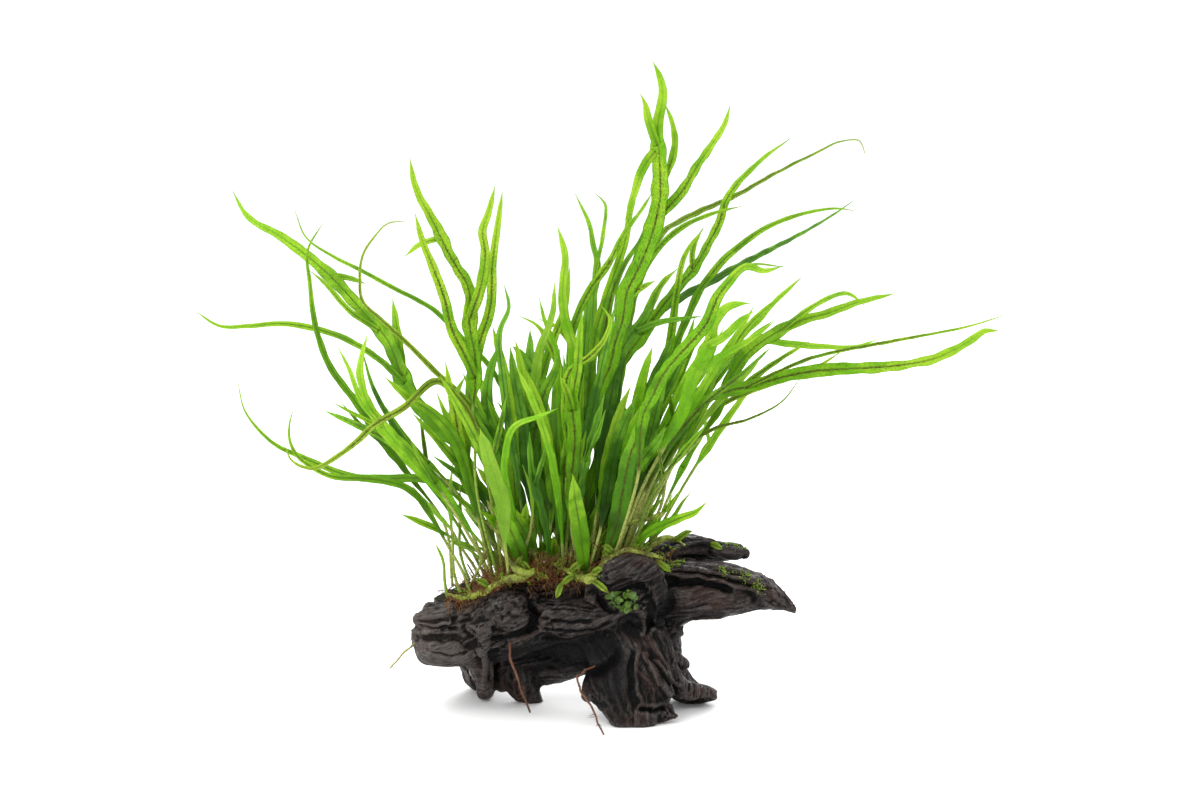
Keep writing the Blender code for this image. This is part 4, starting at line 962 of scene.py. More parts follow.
def new_material(name: str) -> tuple[Material, NodeTree, Value]:
    """An empty node material.

    Args:
        name: the material's name.

    Returns:
        The material, its tree, and object coordinates in mm.
    """
    material = bpy.data.materials.new(name)
    material.use_nodes = True
    tree = material.node_tree
    tree.nodes.clear()
    place = Value(tree.nodes.new("ShaderNodeTexCoord").outputs["Object"])
    scaled = put(tree, "VectorMath", {0: place, "Scale": 1 / MM}, operation="SCALE")
    return material, tree, outputs(scaled)[0]


def surface_of(tree: NodeTree, shader: Node) -> None:
    """Links a shader to the material's output."""
    feed(tree.nodes.new("ShaderNodeOutputMaterial"), {"Surface": outputs(shader)[0]})


def attribute(tree: NodeTree, name: str) -> Value:
    """A vector attribute of the mesh."""
    return Value(put(tree, "Attribute", attribute_name=name).outputs["Vector"])


@dataclass(frozen=True)
class LeafFinish:
    """Satin living leaf: its own green, darkened towards the foot with painted shade and lightened towards
    the tip with a painted glow of light through it, with its rib, veins, blotches and beads of spores.
    """

    tone: Tone
    base: Colour
    middle: Colour
    tip: Colour
    rib: Colour
    stalk: Colour = (0.42, 0.45, 0.12)
    glow: Colour = (0.42, 0.72, 0.006)
    glow_share: float = 0.26
    beads: float = 0.0
    bead_width: float = 0.6
    specks: float = 0.3
    brown: Colour = (0.055, 0.021, 0.006)
    roughness: float = 0.40

    def material(self) -> Material:
        """The finish as a material that reads the leaf's own attributes.

        Returns:
            The material.
        """
        material, tree, place = new_material(self.tone.value)
        share, stalk, tint = attribute(tree, "tone").split()
        drift, fine = patches(place, 8.0, 0.3, 0.7), patches(place, 1.1, 0.3, 0.75)
        flecks, some = patches(place, 0.7, 0.58, 0.64, 1.0), patches(place, 16.0, 0.3, 0.46)
        moved = share + (drift - 0.5) * 0.4 + (tint - 0.5) * 0.4
        # Foot to tip: the leaf's own green, with painted shade at the foot and a painted glow of light
        # through it at the tip.
        colour = use_group(tree, "shades", {
            "Share": moved, "First": self.base, "Middle": self.middle, "Last": self.tip})[0]
        rib, veins, hatch, beads, specks = use_group(tree, "leaf_marks", {
            "Leaf": attribute(tree, "leaf"), "Rib width": 0.4, "Bead width": self.bead_width})
        colour = (veins * 0.16).blend(colour, darker(self.middle, 0.4))
        colour = (hatch * share.step(0.3, 0.95, 0.40, 0.12)).blend(colour, darker(self.middle, 0.5))
        colour = (fine * 0.14).blend(colour, self.base)
        colour = (rib * share.step(0.7, 1.0, 0.8, 0.2)).blend(colour, self.rib)
        dots = (beads * some * self.beads).maths("MAXIMUM", specks * self.specks)
        dots = dots * share.step(0.74, 0.94, 1.0, 0.0)
        colour = dots.blend(colour, self.brown)
        stem = fine.blend(self.stalk, darker(self.stalk, 0.7))
        stem = tint.step(0.35, 0.9, 0.0, 0.7).blend(stem, self.middle)
        stem = (flecks * 0.7).blend(stem, self.brown)
        relief = veins * -0.10 + dots * 0.4 + hatch * -0.14
        bump = put(tree, "Bump", {"Height": relief, "Strength": 0.6, "Distance": MM})
        satin = put(tree, "BsdfPrincipled", {
            "Base Color": stalk.blend(colour, stem), "Normal": outputs(bump)[0], "IOR": 1.4,
            "Roughness": drift.step(0.0, 1.0, self.roughness - 0.08, self.roughness + 0.12),
            "Specular IOR Level": 0.22})
        through_light = put(tree, "BsdfTranslucent", {"Color": self.glow})
        surface_of(tree, put(tree, "MixShader", {
            0: self.glow_share, 1: outputs(satin)[0], 2: outputs(through_light)[0]}))
        return material


OLIVE_RIB = (0.075, 0.085, 0.008)
# Base, middle and tip colours: the base is darkened as painted shade and the tip lightened as a painted glow.
LEAF_FINISHES = (
    LeafFinish(Tone.LIME, (0.055, 0.20, 0.004), (0.175, 0.44, 0.008), (0.38, 0.61, 0.04),
               (0.12, 0.34, 0.01)),
    LeafFinish(Tone.LEAF, (0.028, 0.092, 0.003), (0.105, 0.28, 0.005), (0.29, 0.52, 0.022),
               (0.05, 0.13, 0.005), beads=0.4, bead_width=0.5),
    LeafFinish(Tone.DEEP, (0.014, 0.052, 0.003), (0.040, 0.14, 0.007), (0.15, 0.37, 0.02),
               (0.02, 0.06, 0.005), glow_share=0.16, roughness=0.30),
    LeafFinish(Tone.OLIVE, (0.07, 0.12, 0.008), (0.15, 0.26, 0.014), (0.33, 0.48, 0.04), OLIVE_RIB,
               beads=0.8, bead_width=0.66, specks=0.6),
    LeafFinish(Tone.SPORED, (0.046, 0.15, 0.003), (0.145, 0.37, 0.005), (0.36, 0.57, 0.03), OLIVE_RIB,
               beads=1.0, bead_width=0.66, specks=0.6),
    LeafFinish(Tone.RIBBED, (0.020, 0.070, 0.003), (0.062, 0.20, 0.005), (0.21, 0.47, 0.02), OLIVE_RIB,
               beads=1.0, bead_width=0.62, glow_share=0.2),
    LeafFinish(Tone.PALE, (0.12, 0.24, 0.015), (0.20, 0.39, 0.022), (0.34, 0.55, 0.05), (0.16, 0.32, 0.02)),
)


@dataclass(frozen=True)
class WoodFinish:
    """Wet sunken wood, near black: streaked along its grain, pale on its edges with wear and painted
    highlight, black in its cavities and hollows with painted shade, and paler at its left end with painted
    light.
    """

    dark: Colour = (0.0052, 0.0036, 0.0034)
    lit: Colour = (0.024, 0.0175, 0.0165)
    red: Colour = (0.034, 0.0145, 0.0105)
    # worn: pale grey of rubbed wood; it is also the painted highlight on ridges and the painted light towards
    # the left end.
    worn: Colour = (0.120, 0.104, 0.094)
    black: Colour = (0.0012, 0.0010, 0.0010)
    # Over this span of distance to the right, the left end gets painted light from the left, and its painted
    # shade is weakened.
    lit_left_end: Pair = (-72.0, -26.0)

    def material(self) -> Material:
        """The finish as a material that reads the grain's attributes.

        Returns:
            The material.
        """
        material, tree, place = new_material("sunken_wood")
        grain = attribute(tree, "grain")
        edge, cavity, hollow_shade = attribute(tree, "form").split()
        broad, _ = use_group(tree, "grain", {"Vector": grain, "Length": 18.0, "Width": 2.0})
        thin, cracks = use_group(tree, "grain", {"Vector": grain, "Length": 7.0, "Width": 0.5})
        stain, wet = patches(place, 15.0, 0.44, 0.64), patches(place, 5.0, 0.46, 0.6)
        grit = patches(place, 0.8, 0.38, 0.66)
        colour = broad.step(0.34, 0.7).blend(self.dark, self.lit)
        colour = (stain * 0.7).blend(colour, self.red)
        colour = (thin.step(0.48, 0.72) * 0.45).blend(colour, self.lit)
        fibres = grit * 0.3 + thin.step(0.40, 0.62) * 0.6
        right = place.split()[0]
        # Ridges are blended to the pale grey: partly wear, partly a painted highlight.
        edge_wear_and_highlight = edge.step(0.12, 0.9) * fibres * right.step(*self.lit_left_end, 0.85, 0.56)
        colour = edge_wear_and_highlight.blend(colour, self.worn)
        # Painted light: the left end turns paler towards its tip.
        colour = right.step(*self.lit_left_end, 0.5, 0.0).blend(colour, self.worn)
        colour = (cracks * 0.7).blend(colour, self.black)
        # Painted shade: cavities and hollows are blended towards black, less so at the left end.
        recess_shade = (cavity + hollow_shade).step(0.05, 0.75) * right.step(*self.lit_left_end, 0.68, 1.0)
        colour = recess_shade.blend(colour, self.black)
        relief = (thin * 1.3 + cracks * -0.4 + grit * 0.4) * hollow_shade.step(0.2, 0.8, 1.0, 0.15)
        bump = put(tree, "Bump", {"Height": relief, "Strength": 0.85, "Distance": 0.7 * MM})
        film = wet * (hollow_shade * -1.0 + 1.0) * cavity.step(0.0, 0.5, 0.5, 0.0)
        surface_of(tree, put(tree, "BsdfPrincipled", {
            "Base Color": colour, "Roughness": grit.step(0.0, 1.0, 0.45, 0.68), "IOR": 1.45,
            "Normal": outputs(bump)[0], "Specular IOR Level": 0.16, "Coat Weight": film,
            "Coat Roughness": 0.24, "Coat IOR": 1.33}))
        return material


@dataclass(frozen=True)
class GrownFinish:
    """A plain grown surface, such as root, stem or moss: two colours in patches, with a fine relief."""

    name: str
    first: Colour
    second: Colour
    patch_size: float = 3.0
    roughness: float = 0.55
    relief: float = 0.3

    def material(self) -> Material:
        """The finish as a material on object coordinates and the piece's tint.

        Returns:
            The material.
        """
        material, tree, place = new_material(self.name)
        own = attribute(tree, "tone").split()[2]
        drift, fine = patches(place, self.patch_size, 0.35, 0.65), patches(place, 0.6, 0.3, 0.7)
        colour = ((drift + own) * 0.5).blend(self.first, self.second)
        colour = (fine * 0.4).blend(colour, darker(self.first, 0.45))
        bump = put(tree, "Bump", {"Height": fine, "Strength": 0.7, "Distance": self.relief * MM})
        surface_of(tree, put(tree, "BsdfPrincipled", {
            "Base Color": colour, "Normal": outputs(bump)[0], "Specular IOR Level": 0.24,
            "Roughness": fine.step(0.0, 1.0, self.roughness - 0.08, self.roughness + 0.1)}))
        return material


ROOT_FINISH = GrownFinish("wiry_roots", (0.060, 0.024, 0.007), (0.30, 0.125, 0.032), 2.5)
CUSHION_FINISH = GrownFinish("root_cushion", (0.007, 0.006, 0.003), (0.022, 0.022, 0.006), 4.0, 0.8, 0.6)
STEM_FINISH = GrownFinish("creeping_stem", (0.070, 0.064, 0.010), (0.28, 0.35, 0.045), 2.0, 0.45)
HANGING_FINISH = GrownFinish("reddish_root", (0.07, 0.028, 0.016), (0.20, 0.085, 0.045), 3.0, 0.5)
PALE_ROOT_FINISH = GrownFinish("pale_root", (0.24, 0.22, 0.05), (0.50, 0.46, 0.15), 3.0, 0.5)
MOSS_FINISH = GrownFinish("moss", (0.07, 0.14, 0.010), (0.30, 0.44, 0.03), 1.5, 0.6)
ROUND_LEAF_FINISH = GrownFinish("round_leaf", (0.018, 0.046, 0.005), (0.108, 0.195, 0.020), 1.4, 0.22,
                                0.12)


def axes_along(middle: Array) -> tuple[Array, Array, Array]:
    """Unit vectors along a path: the tangent, and two that are square to it.

    Args:
        middle: places of the path.

    Returns:
        Forward, high and deep, which points as far to the back as it can.
    """
    forward = unit(np.gradient(middle, axis=0))
    deep = unit(np.array((0.0, 1.0, 0.0)) - forward * forward[:, 1:2])
    return forward, np.cross(deep, forward), deep


def swollen(rings: Array, amount: Array) -> Array:
    """Rings with each corner moved away from its ring's middle by so many mm."""
    return rings + amount[..., None] * unit(rings - rings.mean(axis=1, keepdims=True))


def loft(limb: Limb, ring_step: float, sides: int, grow: float = 0.0) -> Array:
    """Rings of a limb, by the rule of its solid: ellipses along its route, swollen by winding ridges.

    Args:
        limb: the limb.
        ring_step: mm from ring to ring.
        sides: corners of a ring.
        grow: mm added all round.

    Returns:
        Places with axes (ring, side, xyz), in mm.
    """
    route = np.array(limb.route, float)
    length = travelled(route[:, :3])[-1]
    rows = curve(route, max(int(length / ring_step) + 2, 4))
    middle = DRAWING.place(*rows[:, :3].T)
    _, high, deep = axes_along(middle)
    turn = np.linspace(0.0, 2 * pi, sides, endpoint=False)
    along = travelled(middle)
    swell = np.ones((len(along), sides))
    for number, share, winding, phase in RIDGES:
        swell = swell + share * np.sin(number * turn + winding * along[:, None] + phase)
    tall = (rows[:, 3:4] * swell + grow)[..., None] * np.cos(turn)[:, None] * high[:, None]
    wide = (rows[:, 4:5] * swell + grow)[..., None] * np.sin(turn)[:, None] * deep[:, None]
    return middle[:, None] + tall + wide


@dataclass(frozen=True)
class Lump:
    """A swelling or hollow of the wood: drawn place and depth, reach, and height in mm."""

    right: float
    up: float
    depth: float
    reach: float
    height: float


def crease_rise(crease: Crease, right: Array, up: Array, depth: Array) -> Array:
    """How far a crease lifts each place: its height times a bell curve of the distance to its line.

    It fades at the line's ends and behind its deepest place.

    Args:
        crease: the ridge or groove.
        right: mm to the right at which each place is drawn.
        up: mm up at which it is drawn.
        depth: its depth in mm.

    Returns:
        The lift in mm.
    """
    points = np.array(crease.line, float)
    start, step = points[:-1], np.diff(points, axis=0)
    away = stacked(right, up)[:, None] - start
    span = (step ** 2).sum(axis=-1)
    along = np.clip((away * step).sum(axis=-1) / span, 0.0, 1.0)
    far = np.linalg.norm(away - along[..., None] * step, axis=-1)
    nearest = far.argmin(axis=1)
    rows = np.arange(len(far))
    share = (nearest + along[rows, nearest]) / len(step)
    ends = smooth_step(-0.02, 0.2, share) * smooth_step(1.02, 0.85, share)
    front = smooth_step(crease.deepest, crease.deepest - crease.fade, depth)
    return crease.height * np.exp(-(far.min(axis=1) / crease.reach) ** 2) * ends * front


def spot(right: Array, up: Array, place: Triple) -> Array:
    """A flat-topped round mask: a bell curve of the fourth power of the distance to a drawn place."""
    return np.exp(-(np.hypot(right - place[0], up - place[1]) / place[2]) ** 4)


@dataclass
class Driftwood:
    """The log with its feet and branches, in one skin: lofts, joined, hollowed and given their grain.

    A smooth face or a spot of painted shade has a drawn place and a reach. The burl has a middle and two
    reaches.
    """

    voxel: float = 0.65
    trunk_lumps: tuple[Lump, ...] = (
        Lump(-38, 48.5, -15, 13, 7), Lump(-69, 47, -4, 5, 2.5), Lump(12, 37, -20, 6, -5),
        Lump(24, 44, -16, 6, -4), Lump(11, 60, -14, 10, 9), Lump(-20, 36, -20, 8, -2))
    hollows: tuple[Lump, ...] = (
        Lump(13, 39, -25, 4.5, -9), Lump(4, 31, -24, 5, -5), Lump(24.5, 46, -17, 4.5, -8),
        Lump(-14, 25, -14, 10, -6), Lump(-32, 24, -14, 9, -6), Lump(-3, 28, -22, 6, -8),
        Lump(-27, 47, -23, 3.4, -4), Lump(-52, 33, -17, 3, -3), Lump(2, 50, -25, 3, -3),
        Lump(-22, 55, -18, 5, -3.5))
    smooth_faces: Rows = ((23, 16, 8), (6, 20, 10), (48, 52, 12), (-10, 44, 8), (17, 31, 7), (-62, 31, 9))
    shades: Rows = ((5, 22, 9), (-24, 27, 9), (26, 54, 5), (6, 10, 9), (28, 33, 5))
    lump_height: float = 1.35
    fold_height: float = 0.95
    cut_depth: float = 1.05
    fibre_height: float = 0.36
    burl: tuple[float, float, float, float] = (-36.4, 46.4, 9.4, 8.2)
    burl_height: float = 1.7
    finish: WoodFinish = WoodFinish()

    def rough_form(self) -> Mesh:
        """The lofts, with their lumps, joined by a voxel remesh and smoothed.

        Returns:
            The joined skin.
        """
        patches = []
        webs = tuple(Limb(limb.name, limb.web) for limb in LIMBS if limb.web)
        for limb in (TRUNK, *LIMBS, *webs, *SPLINTERS):
            rings = loft(limb, 2.0, 48)
            if limb is TRUNK:
                middle = rings.mean(axis=1, keepdims=True)
                for lump in self.trunk_lumps:
                    rings = rings + self.push(rings, lump) * unit(rings - middle)
            rings[..., 2] = np.maximum(rings[..., 2], 0.0)
            patches.append(skin(rings).outward())
        mesh = make_mesh("rough_wood", join(patches))
        rough = new_object("rough_wood", mesh)
        remesh = rough.modifiers.new("join", "REMESH")
        remesh.mode, remesh.voxel_size = "VOXEL", self.voxel * MM
        relax = rough.modifiers.new("relax", "SMOOTH")
        relax.factor, relax.iterations = 0.5, 10
        view = bpy.context.evaluated_depsgraph_get()
        joined = bpy.data.meshes.new_from_object(rough.evaluated_get(view))
        bpy.data.objects.remove(rough)
        bpy.data.meshes.remove(mesh)
        return joined

    @staticmethod
    def push(places: Array, lump: Lump) -> Array:
        """How far a lump moves each place outwards: its height times a bell curve of the distance.

        Args:
            places: places in mm.
            lump: the swelling or hollow.

        Returns:
            The moves in mm, with a last axis of 1.
        """
        centre = DRAWING.place(lump.right, lump.up, lump.depth)
        away = np.linalg.norm(places - centre, axis=-1, keepdims=True)
        return lump.height * np.exp(-(away / lump.reach) ** 2)

    @staticmethod
    def grain_places(places: Array) -> tuple[Array, Array]:
        """Each place in the grain of each limb, blended over the limb's rings.

        Args:
            places: places in mm.

        Returns:
            Coordinates along, up and across with axes (limb, place, 3), and each limb's weight with
            axes (limb, place).
        """
        found, weights = [], []
        for limb in (TRUNK, *LIMBS):
            rings = loft(limb, 5.0, 12)
            middle = rings.mean(axis=1)
            radius = np.linalg.norm(rings - middle[:, None], axis=-1).mean(axis=1)
            apart = places[:, None] - middle[None]
            far = (apart ** 2).sum(axis=-1)
            pull = np.exp(-(far - far.min(axis=1, keepdims=True)) / 30.0)
            pull /= pull.sum(axis=1, keepdims=True)
            ahead, high, deep = (np.einsum("nm,nmk,mk->n", pull, apart, axis) for axis in axes_along(middle))
            ahead += pull @ travelled(middle)
            wind = 0.012 * ahead
            found.append(stacked(ahead, high * np.cos(wind) - deep * np.sin(wind),
                                 high * np.sin(wind) + deep * np.cos(wind)))
            outside = np.sqrt(far.min(axis=1)) / (pull @ radius)
            weights.append(np.exp(-4.0 * outside ** 2))
        weights = np.array(weights)
        return np.array(found), weights / weights.sum(axis=0)

    @staticmethod
    def bend(mesh: Mesh, places: Array, normals: Array, rounds: int) -> Array:
        """How far each place stands out from its neighbours along its normal, smoothed a little.

        Args:
            mesh: the skin, for its edges.
            places: its places in mm.
            normals: its normals.
            rounds: how many times the neighbours are averaged, so how far away they reach.

        Returns:
            The distances in mm, negative in a hollow.
        """
        edges = np.empty(len(mesh.edges) * 2, np.int32)
        mesh.edges.foreach_get("vertices", edges)
        first, second = edges.reshape(-1, 2).T
        many = np.bincount(edges, minlength=len(places))

        def around(values: Array) -> Array:
            """Each place's mean over its neighbours."""
            sums = [np.bincount(first, values[second, k], len(places)) + np.bincount(
                second, values[first, k], len(places)) for k in range(values.shape[1])]
            return stacked(*sums) / many[:, None]

        near = places
        for _ in range(rounds):
            near = around(near)
        out = ((places - near) * normals).sum(axis=1, keepdims=True)
        return (0.5 * out + 0.5 * around(out))[:, 0]

    def grain_relief(self, grain: Array, weight: Array, worn: Array) -> tuple[Array, Array]:
        """Relief along the grain: noises drawn out along it, blended over the limbs by their weights.

        Args:
            grain: places in each limb's grain.
            weight: each limb's weight.
            worn: how rough the wood is left, 0 to 1.

        Returns:
            The lift of lumps, folds, cracks and fibres in mm, and how much painted shade each place gets from
            lying in a crack.
        """
        lift, recess_shade = np.zeros((2, grain.shape[1]))
        for number, (local, share) in enumerate(zip(grain, weight)):
            lumps = layered(local / (24, 9, 9), 40 + number, 3)
            folds = 1 - np.abs(layered(local / (26, 3.4, 3.4), 60 + number, 2)) * 2.2
            cracks = np.abs(noise(local / (15, 2.2, 2.2), 80 + number))
            cuts = np.clip(1 - cracks / 0.15, 0.0, 1.0) * smooth_step(-0.15, 0.2, noise(local / 8.0, 95))
            fibres = layered(local / (5, 0.9, 0.9), 100 + number, 2)
            rough = worn * (self.fold_height * (folds - 0.45) - self.cut_depth * cuts)
            lift += share * (self.lump_height * lumps + rough + self.fibre_height * fibres)
            # Painted shade for the cracks, read by the finish.
            recess_shade += share * 0.4 * cuts * worn
        return lift, recess_shade

    def with_burl(self, lift: Array, places: Array, worn: Array, facing: Array) -> Array:
        """Adds pits, the burl that stands out at the front, and the groove round it.

        Args:
            lift: relief in mm.
            places: places in mm.
            worn: how rough the wood is left, 0 to 1.
            facing: how far each place faces the front, 0 to 1.

        Returns:
            The new relief.
        """
        right, up, depth = DRAWING.drawn(places)
        middle_right, middle_up, wide, tall = self.burl
        away = np.hypot((right - middle_right) / wide, (up - middle_up) / tall)
        burl = np.exp(-away ** 6) * smooth_step(4.0, -4.0, depth)
        pits = np.clip(noise(places / 1.2, 120) - 0.05, 0, 1) + 0.25 * np.clip(noise(places / 2.2, 121), 0, 1)
        rough = smooth_step(-0.1, 0.5, noise(places / 14.0, 122))
        pitting = np.maximum(burl * 0.9, 0.45 * rough * worn)
        lift = lift * (1 - 0.92 * burl) - pitting * pits + self.burl_height * burl
        ring = np.exp(-((away - 1.13) / 0.15) ** 2) * smooth_step(2.0, -4.0, depth)
        deeper_right = 0.25 + 1.4 * smooth_step(-42.0, -35.0, right - 0.6 * (up - 46))
        return lift - deeper_right * facing * ring

    def carve(self, mesh: Mesh) -> None:
        """Moves the skin along its normals by its hollows, creases, grain and burl, and marks it.

        Args:
            mesh: the joined skin, which also gets the grain attribute and the form attribute of its edges and
                of the painted shade of its cavities and hollows.
        """
        places, normals = vertex_rows(mesh) / MM, vertex_rows(mesh, "normal")
        right, up, depth = DRAWING.drawn(places)
        facing = smooth_step(0.0, 0.5, -normals[:, 1])
        moved, hollow_shade = np.zeros((2, len(places)))
        for lump in self.hollows:
            dip = self.push(places, lump)[:, 0]
            moved += dip
            # Painted shade: each dent also darkens the colour, by its depth.
            hollow_shade += np.clip(-dip / 5.0, 0.0, 1.0)
        wander = 0.7 * noise(places / 3.4, 31), 0.7 * noise(places / 3.4, 32)
        for crease in CREASES:
            moved += facing * crease_rise(crease, right + wander[0], up + wander[1], depth)
        worn = 0.35 + 0.65 * smooth_step(-0.25, 0.35, noise(places / 17.0, 97))
        for place in self.smooth_faces:
            worn = worn * (1 - 0.85 * spot(right, up, place) * facing)
        # Painted shade: these spots of the front are only darkened, not moved.
        for place in self.shades:
            hollow_shade += 0.45 * spot(right, up, place) * facing
        grain, weight = self.grain_places(places)
        lift, recess_shade = self.grain_relief(grain, weight, worn)
        lift = self.with_burl(lift, places, worn, facing)
        low = smooth_step(0.0, 5.0, places[:, 2])
        places = places + normals * (moved + lift * (0.25 + 0.75 * low))[:, None]
        places[:, 2] = np.maximum(places[:, 2], 0.0)
        places = np.clip(places, *(np.array(corner) / MM for corner in cad_box))
        mesh.vertices.foreach_set("co", (places * MM).astype(np.float32).ravel())
        mesh.update()
        normals = vertex_rows(mesh, "normal")
        edge = 6.0 * self.bend(mesh, places, normals, 2) + 1.6 * self.bend(mesh, places, normals, 10)
        # Form marks: the edge gives pale wear and painted highlight; cavity and hollow give painted shade.
        form = np.clip(stacked(edge, -edge, hollow_shade + recess_shade), 0.0, 1.0)
        set_marks(mesh, {"grain": grain[weight.argmax(axis=0), np.arange(len(places))], "form": form})
        mesh.polygons.foreach_set("use_smooth", np.ones(len(mesh.polygons), bool))
        mesh.update()

    def build(self) -> None:
        """Makes the whole of the wood as one piece in place of its solids."""
        mesh = self.rough_form()
        self.carve(mesh)
        add_piece("driftwood", mesh, self.finish.material(), "driftwood", TRUNK.name,
                  *(limb.name for limb in LIMBS))


@dataclass
class RootCushion:
    """The cushion of wiry brown roots on the log: a dark core, and roots that wander over and above it.

    The lip of the log in front of it has rows of right, up and depth.
    """

    root_count: int = 520
    root_rings: int = 15
    riser_count: int = 520
    stub_count: int = 46
    drape_count: int = 110
    thickness: float = 0.2
    seed: int = 11
    lip: Rows = ((-62, -50, -32, -8, 4, 22, 30), (52, 52, 58.5, 59.5, 61, 66, 71),
                 (-8, -14, -15, -17, -19, -18, -10))

    def core(self) -> Patch:
        """The cushion's own form, a little smaller and uneven.

        Returns:
            A closed patch.
        """
        rings = loft(MAT, 1.4, 80, -0.6)
        rings = swollen(rings, 1.5 * layered(rings / 3.4, 7, 3) + 0.6 * noise(rings / 1.1, 9))
        tint = np.broadcast_to(noise(rings / 5.0, 5)[..., None], rings.shape)
        return skin(rings, {"tone": tint}).outward()

    def lip_at(self, right: Array) -> tuple[Array, Array]:
        """The height and depth of the log's lip at places so far to the right."""
        rights, ups, depths = self.lip
        return np.interp(right, rights, ups), np.interp(right, rights, depths)

    @staticmethod
    def on_skin(along: Array, angle: Array) -> tuple[Array, Array]:
        """Places on the cushion's skin, and the ways out of it.

        Args:
            along: shares of its length.
            angle: turns about its middle line, with 0 at the top.

        Returns:
            The places in mm, and unit vectors that point outwards.
        """
        rings = loft(MAT, 1.0, 64)
        count, sides = rings.shape[:2]
        row = np.clip(along, 0.0, 1.0) * (count - 1.001)
        column = (angle / (2 * pi) % 1.0) * sides
        i, j = row.astype(int), column.astype(int)
        u, v = (row - i)[..., None], (column - j)[..., None]
        j, k = j % sides, (j + 1) % sides
        place = ((1 - u) * ((1 - v) * rings[i, j] + v * rings[i, k])
                 + u * ((1 - v) * rings[i + 1, j] + v * rings[i + 1, k]))
        middle = rings.mean(axis=1)
        return place, unit(place - (1 - u) * middle[i] - u * middle[i + 1])

    def roots(self) -> Patch:
        """Wiry roots: each wanders along and round the cushion while it bows in and out of its skin.

        Returns:
            One patch.
        """
        draw = np.random.default_rng(self.seed)
        step = np.linspace(0.0, 1.0, self.root_rings)[None]
        one = (self.root_count, 1)
        start, turn = draw.uniform(0.02, 0.98, one), draw.normal(0.1, 1.0, one)
        ahead, about = draw.normal(0, 0.12, one), draw.normal(0, 0.75, one)
        along = start + ahead * step + 0.035 * draw.normal(0, 1, one) * np.sin(draw.uniform(3, 9, one) * step)
        angle = turn + about * step + 0.28 * draw.normal(0, 1, one) * np.sin(draw.uniform(4, 12, one) * step)
        lift = -0.3 + draw.uniform(0.2, 2.6, one) * np.sin(pi * step) ** 0.8
        lift = lift + 0.5 * np.sin(draw.uniform(5, 14, one) * step + draw.uniform(0, 6, one))
        place, outwards = self.on_skin(along, angle)
        radius = self.thickness * draw.uniform(0.5, 1.3, one) * (1 - 0.6 * step ** 2)
        return tubes(place + outwards * lift[..., None], radius, draw.uniform(0, 1, one), along=step)

    def risers(self) -> Patch:
        """Roots that stand up among the stalks: each rises from the front, leans and curls over.

        Returns:
            One patch.
        """
        draw = np.random.default_rng(self.seed + 2)
        step = np.linspace(0.0, 1.0, 12)[None]
        one = (self.riser_count, 1)
        right = np.where(draw.uniform(0, 1, one) < 0.6, draw.normal(-32, 9, one), draw.uniform(-52, 14, one))
        depth = draw.uniform(-19, 2, one)
        foot = DRAWING.place(right, self.lip_at(right)[0] + 0.13 * (depth + 19) - 1.0, depth)
        height = draw.uniform(3, 10, one) * draw.uniform(0.5, 1.4, one)
        spread = height * draw.uniform(0.3, 1.8, one)
        heading = draw.uniform(0, 2 * pi, one)
        up = height * np.sin(draw.uniform(1.4, 2.9, one) * step)
        sway = [0.6 * np.sin(draw.uniform(4, 10, one) * step + draw.uniform(0, 6, one)) for _ in range(2)]
        path = foot + stacked(spread * np.cos(heading) * step + sway[0],
                              0.5 * spread * np.sin(heading) * step + sway[1], up)
        radius = self.thickness * draw.uniform(0.55, 1.2, one) * (1 - 0.65 * step)
        return tubes(path, radius, draw.uniform(0, 1, one), along=step)

    def stubs(self) -> Patch:
        """Old stalks, bare and brown, cut off or withered short.

        Returns:
            One patch.
        """
        draw = np.random.default_rng(self.seed + 3)
        step = np.linspace(0.0, 1.0, 9)[None]
        one = (self.stub_count, 1)
        foot, _ = self.on_skin(draw.uniform(0.12, 0.92, one), draw.normal(0.0, 0.6, one))
        height = draw.uniform(5, 17, one)
        lean = (foot[..., 0] + 8) * 0.018 + draw.normal(0, 0.3, one)
        path = foot + stacked(height * lean * step, draw.normal(0, 0.25, one) * height * step,
                              height * step - 1.0)
        radius = draw.uniform(0.26, 0.55, one) * (1 - 0.35 * step)
        return tubes(path, radius, draw.uniform(0, 1, one), 6, step)

    def drapes(self) -> Patch:
        """Roots that leave the cushion at the front and hang over the log's lip.

        Returns:
            One patch.
        """
        draw = np.random.default_rng(self.seed + 1)
        one = (self.drape_count, 1)
        step = np.linspace(0.0, 1.0, 12)[None]
        pick = draw.uniform(0, 1, one)
        right = np.where(pick < 0.25, draw.uniform(-62, -50, one), np.where(
            pick < 0.9, draw.uniform(-32, 4, one), draw.uniform(22, 30, one)))
        up, away = self.lip_at(right)
        drop = draw.uniform(2, 8, one)
        rights = right + draw.normal(0, 2.6, one) * step + 0.6 * np.sin(draw.uniform(4, 11, one) * step)
        depths = away - draw.uniform(1.5, 4.0, one) * step ** 0.5
        radius = self.thickness * draw.uniform(0.4, 0.9, one) * (1 - 0.6 * step)
        path = DRAWING.place(rights, up - drop * step ** 1.2, depths)
        return tubes(path, radius, draw.uniform(0, 1, one), along=step)

    def build(self) -> None:
        """Makes the core in place of the solid, and the roots over it."""
        wiry = ROOT_FINISH.material()
        add_piece("root_cushion", self.core(), CUSHION_FINISH.material(), "root_mat", MAT.name)
        add_piece("wiry_roots", join([self.roots(), self.drapes()]), wiry, "root_mat")
        add_piece("rising_roots", self.risers(), wiry, "root_mat")
        add_piece("old_stalks", self.stubs(), HANGING_FINISH.material(), "root_mat")


